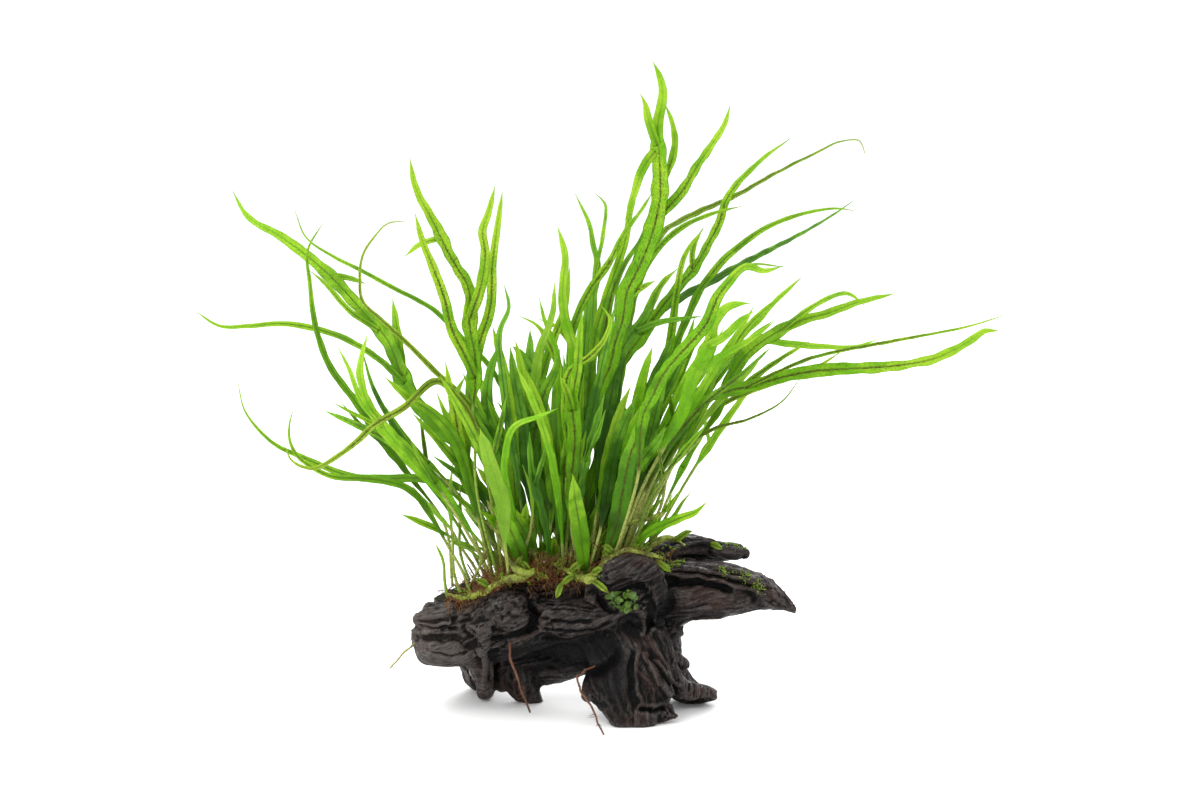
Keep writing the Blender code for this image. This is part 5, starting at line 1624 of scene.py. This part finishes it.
@dataclass
class CreepingStems:
    """The creeping stems at the front of the cushion: knotted, with small scales."""

    scale_count: int = 150
    ring_step: float = 0.7
    sides: int = 28
    full_thickness: float = 1.3
    seed: int = 30

    def stem(self, limb: Limb) -> Patch:
        """A stem: its loft, with knots along it, which are smaller on a thin stem.

        Args:
            limb: its shape.

        Returns:
            A closed patch.
        """
        rings = loft(limb, self.ring_step, self.sides)
        knots = 0.6 * noise(rings / 2.4, 21) + 0.22 * noise(rings / 0.9, 22) - 0.25
        thickness = np.median(np.array(limb.route)[:, 3])
        rings = swollen(rings, knots * min(1.0, thickness / self.full_thickness))
        tint = np.broadcast_to(noise(rings / 3.0, 23)[..., None] * 0.9 + 0.5, rings.shape)
        return skin(rings, {"tone": tint}).outward()

    def scales(self, limb: Limb, seed: int) -> Patch:
        """Small pointed scales that stand off a stem: short bent tubes that end in a point.

        Args:
            limb: the stem's shape.
            seed: picks their places.

        Returns:
            One patch.
        """
        draw = np.random.default_rng(seed)
        rings = loft(limb, self.ring_step, self.sides)
        i = draw.integers(2, len(rings) - 2, self.scale_count)
        j = draw.integers(0, rings.shape[1], self.scale_count)
        foot = rings[i, j]
        out_way = unit(foot - rings[i].mean(axis=1))
        lean = unit(out_way + draw.normal(0, 0.55, foot.shape))
        step = np.linspace(0.0, 1.0, 5)[None, :, None]
        length = draw.uniform(0.8, 2.4, (self.scale_count, 1, 1))
        path = foot[:, None] + lean[:, None] * length * step - np.array((0, 0, 0.5)) * length * step ** 2
        radius = draw.uniform(0.10, 0.28, (self.scale_count, 1)) * (1.02 - step[..., 0])
        return tubes(path, radius, 0.2)

    def build(self) -> None:
        """Makes both stems in place of their solids."""
        stem, scale = STEM_FINISH.material(), ROOT_FINISH.material()
        for number, limb in enumerate(RHIZOMES):
            side = limb.name.split("_")[1]
            add_piece(f"creeping_stem_{side}", self.stem(limb), stem, "rhizome", limb.name)
            add_piece(f"stem_scales_{side}", self.scales(limb, self.seed + number), scale, "rhizome")
        add_piece("stem_ends", join([self.stem(limb) for limb in STEM_ENDS]), stem, "rhizome")


@dataclass
class LooseRoots:
    """The three single roots in front of the log, finely bent, with short side hairs."""

    ring_count: int = 60
    hair_count: int = 14
    wobble: float = 0.7
    slenderness: float = 0.85
    seed: int = 50

    def root(self, limb: Limb, seed: int) -> Patch:
        """A root with a slow wobble that fades at both ends, and its side hairs.

        Args:
            limb: its shape.
            seed: picks its wobble and hairs.

        Returns:
            One patch of both.
        """
        draw = np.random.default_rng(seed)
        rows = curve(np.array(limb.route, float), self.ring_count)
        path = DRAWING.place(*rows[:, :3].T)
        along = travelled(path)
        fade = np.sin(pi * along / along[-1])[:, None]
        wobble = stacked(*(noise(stacked(along / 3.5, 9 * k, 0.0), seed) for k in range(3)))
        path = path + self.wobble * fade * wobble
        path[:, 2] = np.maximum(path[:, 2], rows[:, 3] * 0.8)
        body = tubes(path[None], rows[None, :, 3] * self.slenderness, 0.5, 8, along / along[-1])
        many = self.hair_count
        foot = path[draw.integers(6, self.ring_count - 6, many)]
        step = np.linspace(0.0, 1.0, 7)[None, :, None]
        way = unit(draw.normal(0, 1, (many, 3)) + np.array((0, -0.6, -0.4)))
        hairs = foot[:, None] + way[:, None] * draw.uniform(1.5, 4.5, (many, 1, 1)) * step
        hairs = hairs + 0.5 * np.sin(5 * step) * unit(draw.normal(0, 1, (many, 1, 3)))
        hairs[..., 2] = np.maximum(hairs[..., 2], 0.15)
        return join([body, tubes(hairs, 0.13 * (1.05 - step[..., 0]) * np.ones((many, 1)), 0.6)])

    def build(self) -> None:
        """Makes the roots in place of their solids."""
        reddish, pale = HANGING_FINISH.material(), PALE_ROOT_FINISH.material()
        for number, limb in enumerate(ROOTS):
            finish = pale if limb.name == "left_root" else reddish
            add_piece(limb.name + "_wire", self.root(limb, self.seed + number), finish, "root", limb.name)


@dataclass
class RoundLeaves:
    """The cluster of small round leaves at the right of the plant's base."""

    middle: Triple = (9.5, 50.5, -24.5)
    spread: Triple = (5.8, 2.6, 3.6)
    count: int = 17
    radius: float = 1.7
    half_thickness: float = 0.14
    stalk_radius: float = 0.28
    turn_step: float = 2.4
    seed: int = 5

    def leaf(self, foot: Array, facing: Array, radius: float, turn: float) -> Patch:
        """One cupped round leaf: a disc whose rim rises and waves, with a front and a back skin.

        Args:
            foot: its middle, in mm.
            facing: the way it looks.
            radius: its radius in mm.
            turn: its turn about its facing.

        Returns:
            A closed patch.
        """
        facing = unit(facing[None])[0]
        first = unit(np.cross(facing, (0.3, 0.2, 1.0))[None])[0]
        second = np.cross(facing, first)
        share = np.array((0.12, 0.4, 0.7, 0.92, 1.0, 0.92, 0.7, 0.4, 0.12))
        side = np.array((1, 1, 1, 1, 0, -1, -1, -1, -1)) * self.half_thickness
        angle = np.linspace(0.0, 2 * pi, 20, endpoint=False)
        outline = 1 + 0.18 * np.sin(2 * angle + 3 * turn) + 0.10 * np.sin(3 * angle + turn)
        away = share[:, None] * radius * (outline + 0.05 * np.sin(7 * angle - turn))
        cup = 0.3 * radius * share[:, None] ** 2 * (1 + 1.1 * np.sin(2 * angle + turn)) + side[:, None]
        rings = (foot + away[..., None] * (np.cos(angle)[:, None] * first + np.sin(angle)[:, None] * second)
                 + cup[..., None] * facing)
        tint = stacked(0 * away, 0.0, turn % 1.0)
        return skin(rings, {"tone": tint}).outward()

    def build(self) -> None:
        """Makes the cluster in place of its solid."""
        draw = np.random.default_rng(self.seed)
        centre = DRAWING.place(*self.middle)
        leaves, stalks = [], []
        for number in range(self.count):
            height, turn = 1 - 2 * (number + 0.5) / self.count, number * self.turn_step
            ring = np.sqrt(1 - height ** 2)
            way = np.array((ring * cos(turn), -abs(ring * sin(turn)) - 0.25, height))
            foot = centre + way * self.spread * draw.uniform(0.75, 1.1)
            facing = way + draw.normal(0, 0.55, 3) + np.array((0, -0.2, 0.45))
            radius = self.radius * draw.uniform(0.5, 1.2)
            leaves.append(self.leaf(foot, facing, radius, float(draw.uniform(0, 6))))
            stalks.append(np.linspace(centre + np.array((0, 2.5, 0)), foot, 6))
        stalks = np.array(stalks)
        stalks = tubes(stalks, np.full(stalks.shape[:2], self.stalk_radius), 0.0, 5)
        add_piece("round_leaves", join([*leaves, stalks]), ROUND_LEAF_FINISH.material(), "leaflet",
                  "leaflet_cluster")


def blade(share: Array, tail: float) -> Array:
    """Width of a blade along its length, 0 to 1.

    A sine bow that is widest nearer to its foot. It rises slowly from the stalk, and keeps its width
    longer towards the tip, where only the last part is drawn in.

    Args:
        share: how far along it is, 0 to 1.
        tail: how early it thins, 0 to 1.

    Returns:
        The widths.
    """
    bow = np.clip(share, 0.0, 1.0) ** (0.75 - 0.3 * tail)
    power = np.where(bow < 0.5, 0.75 + 0.6 * tail, 0.36 + 0.4 * tail)
    return np.maximum(np.sin(pi * bow), 0.0) ** power


@dataclass
class Strand:
    """A blade or lobe being drawn: its rows, how far along, depth, half width and half thickness."""

    rows: Array
    along: Array
    depth: Array
    half: Array
    thick: Array
    share: Array


@dataclass
class Plant:
    """A frond with its strands; a held one keeps its place when its neighbours are moved apart."""

    shape: FrondShape
    strands: list[Strand]
    held: bool = False


def draw_frond(frond: FrondShape, base_depth: float) -> list[Strand]:
    """The strands of a frond before it is moved clear of its neighbours, by the rule of its solid.

    Args:
        frond: its shape.
        base_depth: depth of its foot.

    Returns:
        The blade's strand, then one for each lobe.
    """
    def rows_of(route: Pairs) -> tuple[Array, Array]:
        """Smooths a middle line.

        Args:
            route: its drawn points.

        Returns:
            Points at even steps, and the distance along it of each.
        """
        length = travelled(np.array(route, float))[-1]
        rows = curve(np.array(route, float), max(int(length / SAMPLE_STEP) + 1, 6))
        return rows, travelled(rows)

    rows, along = rows_of(frond.route)
    share = along / along[-1]
    depth = base_depth + (frond.depth - base_depth) * share ** 1.25
    leaf = np.clip((share - frond.stem) / (1 - frond.stem), 0.0, 1.0)
    width = min(frond.width, 3.0 + 0.48 * frond.width)
    half = np.maximum(width / 2 * blade(leaf, frond.tail), np.where(leaf > 0.5, TIP_HALF_WIDTH, STALK_RADIUS))
    thick = np.where(leaf > 0, BLADE_HALF_THICKNESS, STALK_RADIUS)
    strands = [Strand(rows, along, depth, half, thick, share)]
    for number, lobe in enumerate(frond.lobes):
        rows_l, along_l = rows_of(lobe.route)
        near = np.argmin(np.linalg.norm(rows - rows_l[0], axis=1))
        part = along_l / along_l[-1]
        rise = LOBE_RISE * along_l[-1] * (1 if number % 2 else -1)
        drift = np.gradient(depth, along)[near] * along_l
        bow = blade(LOBE_START + (1 - LOBE_START) * part, LOBE_TAIL)
        half_l = np.maximum(lobe.width / 2 * bow, TIP_HALF_WIDTH)
        depth_l = depth[near] + drift + rise * part
        thick_l = np.full(len(rows_l), BLADE_HALF_THICKNESS)
        share_l = share[near] + (1 - share[near]) * part
        strands.append(Strand(rows_l, along_l + along[near], depth_l, half_l, thick_l, share_l))
    return strands


def settle(plants: list[Plant]) -> None:
    """Moves fronds apart in depth where they cross. Feet and held plants stay.

    Each round, every pair that is too near shares what it lacks, and the moves are smoothed along each
    frond.

    Args:
        plants: all plants, from the front to the back. Their strands' depths are changed.
    """
    samples, owner, bins = [], [], []
    for k, plant in enumerate(plants):
        lean = abs(sin(radians(plant.shape.roll)))
        for s in plant.strands:
            slope = np.abs(np.gradient(s.depth, s.along))
            samples.append(np.column_stack((s.rows, s.depth, s.half, s.thick + s.half * lean
                                            + slope * SAMPLE_STEP / 2)))
            owner += [k] * len(s.rows)
            bins += list(np.rint(s.along / SAMPLE_STEP).astype(int))
    samples, owner, bins = np.vstack(samples), np.array(owner), np.array(bins)
    held = np.array([plant.held for plant in plants])
    apart = np.hypot(*(samples[:, None, c] - samples[None, :, c] for c in (0, 1)))
    near = apart < samples[:, None, 3] + samples[None, :, 3] + FROND_CLEARANCE
    near &= (owner[:, None] < owner[None, :]) & ~(held[owner][:, None] & held[owner][None, :])
    front, back = np.nonzero(near)
    need = samples[front, 4] + samples[back, 4] + FROND_CLEARANCE
    shift = np.zeros((len(plants), bins.max() + 2))
    free = np.clip(np.arange(shift.shape[1]) / 3.0, 0.0, 1.0) * ~held[:, None]
    for _ in range(SETTLE_ROUNDS):
        depth = samples[:, 2] + shift[owner, bins]
        lack = np.maximum(need - (depth[back] - depth[front]), 0.0) / 2
        ahead, behind = np.zeros_like(shift), np.zeros_like(shift)
        np.maximum.at(ahead, (owner[front], bins[front]), lack)
        np.maximum.at(behind, (owner[back], bins[back]), lack)
        shift += SETTLE_PACE * (behind - ahead) * free
        middle = (shift[:, :-2] + 2 * shift[:, 1:-1] + shift[:, 2:]) / 4
        shift[:, 1:-1] = np.where(free[:, 1:-1] > 0, middle, 0.0)
        shift[:, 0] = 0.0
    for k, plant in enumerate(plants):
        for s in plant.strands:
            s.depth = s.depth + np.interp(s.along / SAMPLE_STEP, np.arange(shift.shape[1]), shift[k])


def ground_of(node: str) -> BVHTree:
    """Makes a search tree of a solid's faces, to stand things on.

    Args:
        node: the solid's name.

    Returns:
        The tree, in metres.
    """
    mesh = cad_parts[node].data
    mesh.calc_loop_triangles()
    corners = np.empty(len(mesh.loop_triangles) * 3, np.int32)
    mesh.loop_triangles.foreach_get("vertices", corners)
    return BVHTree.FromPolygons(vertex_rows(mesh).tolist(), corners.reshape(-1, 3).tolist())


@dataclass(frozen=True)
class Growth:
    """How young fronds grow: from and to of height, width and tip depth, and how much the lean varies."""

    height: Pair
    width: Pair
    depth: Pair
    lean: float


@dataclass
class Fern:
    """All fronds: those of the solids in their places, and the young ones that fill the middle.

    The young ones' feet have a first place and a span. Inside the inner range they grow densest. What a
    foot stands on is looked for from the sky down; where there is nothing, it stands on the bare top.
    Those two heights are in metres.
    """

    ring: float = 1.5
    edge_wave: float = 0.55
    wave_length: float = 9.0
    half_thickness: float = 0.2
    stalk_radius: float = 0.62
    tip_length: float = 6.0
    rib_width: float = 0.42
    most_roll: float = 34.0
    young_count: int = 86
    bud_count: int = 40
    young_growth: Growth = Growth((32, 112), (3.2, 6.2), (-50, 56), 0.12)
    bud_growth: Growth = Growth((9, 30), (2.0, 3.4), (-30, 30), 0.3)
    feet: Pair = (-42, 62)
    foot_step: float = 0.618
    inner: Pair = (-34, 4)
    tip_depths: Pair = (-70, 60)
    foot_depths: Pair = (-11, 9)
    sky: float = 0.2
    bare_top: float = 0.052
    seed: int = 23
    top_row: tuple[float, ...] = (-1, -0.8, -0.48, -0.17, 0, 0.17, 0.48, 0.8, 1)

    def surface(self, s: Strand, roll: float, seed: int, tint: float, seat: Array | None,
                forks: tuple[Pair, ...] = ()) -> Patch:
        """The closed skin of a strand.

        Each ring has a front and a back row across the blade. Front and back stand off the middle by
        the thickness, which thins to the edge; the back has a rib. Both follow a shallow trough and
        waves that grow towards the edge. On the stalk the ring turns into a circle.

        Args:
            s: the strand, settled.
            roll: its turn about its middle line, in degrees.
            seed: picks its waves.
            tint: its own shade, 0 to 1.
            seat: its foot's place in mm, where it stands on something.
            forks: places along it and widths of its lobes, where it flares.

        Returns:
            A closed patch with its leaf and tone marks.
        """
        count = max(int((s.along[-1] - s.along[0]) / self.ring) + 2, 8)
        at = np.linspace(s.along[0], s.along[-1], count)
        middle = through(DRAWING.place(*s.rows.T, s.depth), s.along, at)
        half, share = (np.interp(at, s.along, v) for v in (s.half, s.share))
        stalk = 1 - smooth_step(0.0, 1.0, np.interp(at, s.along, np.where(s.thick > 0.5, 0.0, 1.0)))
        if seat is not None:
            fade = np.clip(1 - (at - at[0]) / (3 * RING_STEP), 0.0, 1.0)
            middle = middle + (seat - middle[0]) * fade[:, None]
        forward = unit(np.gradient(middle, axis=0))
        across = unit(np.cross(forward, FACING))
        turned = np.einsum("ij,ij->i", across[1:], across[:-1])
        across[1:] *= np.cumprod(np.where(turned > 0, 1.0, -1.0))[:, None]
        facing = np.cross(across, forward)

        def drift(step: float, number: int) -> Array:
            """The strand's own slow noise along it, by its length of change and its number."""
            return noise(stacked(at / step, number * 7.3, seed), seed)

        turn = radians(min(roll, self.most_roll))
        turn = turn + 0.24 * drift(22, 1) * (1 - stalk) + 0.12 * drift(9, 2) * (1 - stalk)
        side = np.cos(turn)[:, None] * across + np.sin(turn)[:, None] * facing
        front = np.cos(turn)[:, None] * facing - np.sin(turn)[:, None] * across
        flares = [0.22 * width * np.exp(-((at - place + 1.0) / 4.0) ** 2) for place, width in forks]
        half = half + np.max(flares, axis=0, initial=0.0)
        end = np.clip((at[-1] - at) / min(self.tip_length, 0.25 * (at[-1] - at[0])), 0.0, 1.0) ** 0.7
        half = np.maximum(half * (0.15 + 0.85 * end), 0.1)
        v = np.array(self.top_row + self.top_row[-2:0:-1])
        skin_side = np.array((0,) + (1,) * 7 + (0,) + (-1,) * 7)
        bulge = np.where(v > 0, drift(7, 3)[:, None], drift(7, 4)[:, None])
        x = half[:, None] * v * (1 + 0.10 * bulge * (1 - stalk)[:, None])
        thick = self.half_thickness * (1 - v ** 4) ** 0.5 * (0.5 + 0.5 * end[:, None])
        rib = np.exp(-(x / self.rib_width) ** 2) * (0.34 * (1 - share[:, None]) + 0.1)
        length = self.wave_length + 3.0 * drift(40, 5)
        phase = 2 * pi * np.cumsum(np.full(count, at[1] - at[0]) / length)
        offset = np.where(v > 0, seed % 6, seed % 4 + 2.4)
        wave = np.sin(phase[:, None] + offset) * np.minimum(half, 3.2)[:, None] / 3.2 * end[:, None]
        fine = 0.10 * noise(stacked(at[:, None] / 2.6, x / 1.3, seed), seed + 1)
        trough = (0.10 + 0.10 * drift(30, 6)[:, None]) * x ** 2 / np.maximum(half[:, None], 0.6)
        z = trough + self.edge_wave * wave * np.abs(v) ** 1.6 + fine
        z = z + skin_side * thick - np.where(skin_side < 0, rib, 0.22 * rib)
        round_turn = np.linspace(pi, -pi, len(v), endpoint=False)
        radius = self.stalk_radius * (1 + 0.06 * drift(4, 8))[:, None]
        s_share = stalk[:, None]
        x = x * (1 - s_share) + radius * np.cos(round_turn) * s_share
        z = z * (1 - s_share) + radius * np.sin(round_turn) * s_share
        rings = middle[:, None] + x[..., None] * side[:, None] + z[..., None] * front[:, None]
        leaf = stacked(at[:, None], x, half[:, None])
        tone = stacked(share[:, None], s_share, tint + 0 * x)
        return skin(rings, {"leaf": leaf, "tone": tone}).outward()

    def frond(self, plant: Plant, seed: int, seat: Array) -> Patch:
        """A whole frond: its blade on its stalk, and its lobes.

        Args:
            plant: the frond, settled.
            seed: picks its waves and its shade.
            seat: its foot's place in mm.

        Returns:
            One patch of all of it.
        """
        tint = float(np.random.default_rng(seed).uniform())
        body, *lobes = plant.strands
        forks = tuple((lobe.along[0], shape.width) for lobe, shape in zip(lobes, plant.shape.lobes))
        patches = [self.surface(body, plant.shape.roll, seed, tint, seat, forks)]
        for number, lobe in enumerate(lobes):
            patches.append(self.surface(lobe, plant.shape.roll, seed + 7 * number + 3, tint, None))
        return join(patches)

    def young_frond(self, number: int, draw: np.random.Generator) -> FrondShape | None:
        """A frond of the dense middle, which bends outwards as it rises, or a bud.

        The feet are a golden share of the span apart, round and round, so that they spread evenly.
        Every third young frond is forked. At the sides only those are kept, and they are narrow.

        Args:
            number: its number; the buds come last.
            draw: the random numbers.

        Returns:
            Its shape, or nothing where it isn't kept.
        """
        bud = number >= self.young_count
        forked = number % 3 == 0 and not bud
        growth = self.bud_growth if bud else self.young_growth
        foot = self.feet[0] + self.feet[1] * (number * self.foot_step % 1.0)
        edge = not self.inner[0] <= foot <= self.inner[1]
        height = draw.uniform(*growth.height) * (1 if bud else 1 - 0.3 * abs(foot + 10) / 32)
        lean = min((foot + 13) * 0.028, 0.55) + draw.normal(0, growth.lean)
        bend = min(lean * draw.uniform(0.6, 1.8), 0.45 if foot > self.inner[1] else 0.8)
        rise = np.linspace(0.0, 1.0, 6)
        sway = 0.028 * draw.normal() * np.sin(pi * rise) + 0.018 * draw.normal() * np.sin(2 * pi * rise)
        rights = foot + height * (0.45 * lean * rise + 0.55 * bend * rise ** 2.2) + height * sway
        ups = 62 + (foot + 40) * 0.08 + height * rise * (1 - 0.12 * abs(bend) * rise)
        width = draw.uniform(*growth.width) * (0.62 if edge and not bud else 1.0)
        lobes = ()
        if forked:
            fork = np.array((rights[3], ups[3]))
            way = np.array((0.35 * (1 if number % 2 else -1) + 0.4 * bend, 0.9)) * height * 0.3
            lobe = (tuple(fork), tuple(fork + way * 0.5), tuple(fork + way + (0.0, 2.0)))
            lobes = (LobeShape(width * 0.6, lobe),)
        depth = draw.uniform(*growth.depth)
        if edge and not bud and not forked:
            return None
        tail = draw.uniform(0.0, 0.45)
        stem = draw.uniform(0.04, 0.34) + (0.3 if edge else 0.0)
        roll = draw.normal(0, 20)
        route = tuple(zip(rights.tolist(), ups.tolist()))
        return FrondShape(f"young_{number + 1:02d}", depth, width, tail, stem, roll, route, lobes)

    def young(self) -> list[FrondShape]:
        """All fronds that stand for no solid: those of the dense middle, the buds and the side fronds.

        Returns:
            Their shapes.
        """
        draw = np.random.default_rng(self.seed)
        grown = [self.young_frond(number, draw) for number in range(self.young_count + self.bud_count)]
        return [shape for shape in grown if shape] + list(SIDE_FRONDS)

    def planted(self) -> list[Plant]:
        """Puts every frond in its settled place: first those of the solids, then the others between.

        Returns:
            All plants, from the front to the back.
        """
        ordered = sorted(FRONDS, key=lambda f: f.depth)
        low, high = BASE_DEPTHS
        mains = [Plant(shape, draw_frond(shape, low + (high - low) * rank / (len(ordered) - 1)))
                 for rank, shape in enumerate(ordered)]
        settle(mains)
        for plant in mains:
            plant.held = True
        youngs = [Plant(shape, draw_frond(shape, float(np.interp(shape.depth, self.tip_depths,
                                                                 self.foot_depths))))
                  for shape in self.young()]
        everyone = sorted(mains + youngs, key=lambda p: p.shape.depth)
        settle(everyone)
        return everyone

    def seat_of(self, strand: Strand, grounds: list[BVHTree]) -> Array:
        """The place of a frond's foot, right on top of what it stands on.

        Args:
            strand: its blade.
            grounds: what it can stand on.

        Returns:
            The place in mm.
        """
        first = DRAWING.place(*strand.rows[0], strand.depth[0])
        above = Vector((first[0] * MM, first[1] * MM, self.sky))
        hits = [ground.ray_cast(above, Vector((0, 0, -1)))[0] for ground in grounds]
        top = max((hit.z for hit in hits if hit), default=self.bare_top) / MM
        return np.array((first[0], first[1], top + GAP + STALK_RADIUS))

    def build(self) -> None:
        """Makes each frond in place of its solid, and the young fronds on the same cushion."""
        grounds = [ground_of(n) for n in (MAT.name, RHIZOMES[0].name, RHIZOMES[1].name, TRUNK.name)]
        tone_of = {name: tone for tone, names in TONES.items() for name in names}
        finishes = {finish.tone: finish.material() for finish in LEAF_FINISHES}
        for number, plant in enumerate(self.planted()):
            name = plant.shape.name
            short = name.removeprefix("frond_")
            solids = (name,) if short != name else ()
            tone = tone_of.get(short, Tone.LEAF if solids else YOUNG_TONES[number % len(YOUNG_TONES)])
            patch = self.frond(plant, number + 1, self.seat_of(plant.strands[0], grounds))
            add_piece("fern_" + short, patch, finishes[tone], "frond", *solids)


@dataclass
class SmallGrowth:
    """Moss on the base and the branches, and small tongue-shaped leaves on the wood.

    A tuft has its drawn place and depth. A tongue has its foot's, and how far over and up its tip is.
    """

    tufts: Rows = (
        (14, 71.5, -18), (19, 69.6, -17), (24, 66.6, -15), (27, 65, -13), (-10, 61, -20), (-24, 61, -18),
        (-40, 59, -19), (-54, 52.5, -13), (51, 73.5, 9), (57, 73, 8), (31, 69.6, -9), (4, 68.5, -21),
        (-1, 60.6, -23), (-16, 64, -15), (29, 72, -4), (50, 62.6, -12), (58, 60, -12), (63, 55, -13))
    blades_each: int = 46
    branch_start: float = 26.0
    seed: int = 77
    tongue_seed: int = 200
    tongues: Rows = (
        (-10, 60, -22, -5.5, -3.5), (-15, 57.4, -23, -2.6, -6.4), (-4, 58.4, -25, 7.6, -5.2),
        (-3, 61, -24, 4, 1.6), (-12, 62, -20, 5.6, 3.4), (-28, 61, -20, -4, 5), (5, 69.5, -22, -4, 2.4),
        (-44, 55.5, -18, -6, 3), (44, 72.6, 5, 5, -2), (22, 66, -18, 6.5, -4.5), (30, 74, -4, 7, 4),
        (-34, 62, -19, 3, 6))

    def moss(self) -> Patch:
        """Short pointed blades round each tuft's middle; those of the branches sit on the wood.

        Returns:
            One patch.
        """
        draw = np.random.default_rng(self.seed)
        wood = BVHTree.FromObject(bpy.data.objects["driftwood"], bpy.context.evaluated_depsgraph_get())
        centres = np.repeat(self.tufts, self.blades_each, axis=0)
        foot = DRAWING.place(*centres.T)
        foot = foot + draw.normal(0, 1.5, foot.shape)
        on_branch = centres[:, 0] > self.branch_start
        nearest = [wood.find_nearest(Vector(place * MM))[0] for place in foot[on_branch]]
        foot[on_branch] = np.array(nearest) / MM
        way = unit(draw.normal(0, 1, foot.shape) + np.array((0, -0.6, 0.9)))
        step = np.linspace(0.0, 1.0, 4)[None, :, None]
        path = foot[:, None] + way[:, None] * draw.uniform(0.7, 1.9, (len(foot), 1, 1)) * step
        path = path + np.array((0, 0, -0.3)) * step ** 2
        radius = draw.uniform(0.14, 0.32, (len(foot), 1)) * (1.05 - step[..., 0])
        return tubes(path, radius, draw.uniform(0, 1, (len(foot), 1)))

    def tongue(self, fern: Fern, number: int) -> Patch:
        """A tongue-shaped leaf, which bends over and comes forward towards its tip.

        Args:
            fern: what gives it its surface.
            number: its number in the list.

        Returns:
            A closed patch.
        """
        right, up, depth, over, rise = self.tongues[number]
        route = np.array(((right, up), (right + over * 0.35, up + rise * 0.35 + 0.6),
                          (right + over * 0.7, up + rise * 0.75 + 0.5), (right + over, up + rise)), float)
        rows = curve(route, 12)
        along = travelled(rows)
        share = along / along[-1]
        half = 1.2 * np.sin(pi * np.clip(0.06 + 0.94 * share, 0, 1)) ** 0.45 + 0.1
        depths = depth - 2.2 * np.sin(1.4 * share)
        strand = Strand(rows, along, depths, half, 0 * share + 0.3, 0.3 + 0.5 * share)
        return fern.surface(strand, 10 * (number % 3 - 1), self.tongue_seed + number, 0.5, None)

    def build(self, fern: Fern) -> None:
        """Makes the moss and the tongue leaves.

        Args:
            fern: what gives the tongue leaves their surface.
        """
        add_piece("moss", self.moss(), MOSS_FINISH.material(), "rhizome")
        tongues = join([self.tongue(fern, number) for number in range(len(self.tongues))])
        add_piece("tongue_leaves", tongues, bpy.data.materials[Tone.OLIVE.value], "frond")


@dataclass
class Studio:
    """Pale floor, soft lights and the camera at the drawing's eye."""

    focal: float = 90.0
    sensor: float = 36.0
    level_light: float = 0.62
    overhead_light: float = 1.5
    floor_size: float = 120.0
    look_at: Triple = (0, 0, 0.12)

    def floor(self) -> None:
        """A wide pale floor under the wood."""
        half = self.floor_size / 2
        mesh = bpy.data.meshes.new("floor")
        mesh.from_pydata([(-half, -half, 0), (half, -half, 0), (half, half, 0), (-half, half, 0)], [],
                         [(0, 1, 2, 3)])
        floor = new_object("floor", mesh)
        material, tree, place = new_material("pale_floor")
        colour = patches(place, 60.0, 0.2, 0.8).blend((0.90, 0.90, 0.90), (0.92, 0.92, 0.915))
        surface_of(tree, put(tree, "BsdfPrincipled", {"Base Color": colour, "Roughness": 0.8}))
        mesh.materials.append(material)

    def light(self, name: str, place: Triple, size: float, power: float) -> None:
        """Puts in a square soft light that looks at the middle of the plant.

        Args:
            name: its name.
            place: where it is, in metres.
            size: its side in metres.
            power: its power in watts.
        """
        lamp = bpy.data.lights.new(name, "AREA")
        lamp.size, lamp.energy = size, power
        holder = new_object(name, lamp)
        holder.location = place
        holder.rotation_euler = (Vector(self.look_at) - Vector(place)).to_track_quat("-Z", "Y").to_euler()

    def world(self) -> None:
        """White surroundings, brighter overhead than at the level of the eye."""
        world = bpy.data.worlds.new("surroundings")
        world.use_nodes = True
        tree = world.node_tree
        way = Value(tree.nodes.new("ShaderNodeTexCoord").outputs["Generated"])
        strength = way.split()[2].step(0.0, 0.8, self.level_light, self.overhead_light)
        feed(tree.nodes["Background"], {0: (1, 1, 1), 1: strength})
        bpy.context.scene.world = world
        bpy.context.scene.view_settings.view_transform = "Standard"

    def camera(self) -> None:
        """The camera, at the eye of the front drawing and turned to its middle."""
        lens = bpy.data.cameras.new("camera")
        lens.lens, lens.sensor_width = self.focal, self.sensor
        lens.clip_start, lens.clip_end = 0.01, 400.0
        camera = new_object("camera", lens)
        eye = Vector((DRAWING.eye() - DRAWING.shift()) * MM)
        target = Vector((DRAWING.middle() - DRAWING.shift()) * MM)
        camera.location = eye
        camera.rotation_euler = (target - eye).to_track_quat("-Z", "Y").to_euler()
        bpy.context.scene.camera = camera

    def build(self) -> None:
        """Sets the whole stage."""
        self.floor()
        self.world()
        self.light("key", (-0.5, -0.9, 1.1), 0.9, 9.0)
        self.light("back", (0.4, 1.0, 0.8), 1.0, 10.0)
        self.light("left", (-1.1, -0.6, 0.4), 0.5, 7.0)
        self.light("right", (1.1, -0.3, 0.6), 0.7, 3.5)
        self.camera()


def main() -> None:
    """Builds the studio, then each sub-assembly, and reports the pieces."""
    logging.basicConfig(level=logging.INFO, format="%(message)s")
    build_groups()
    Studio().build()
    Driftwood().build()
    RootCushion().build()
    CreepingStems().build()
    LooseRoots().build()
    RoundLeaves().build()
    fern = Fern()
    fern.build()
    SmallGrowth().build(fern)


if __name__ == "__main__":
    main()
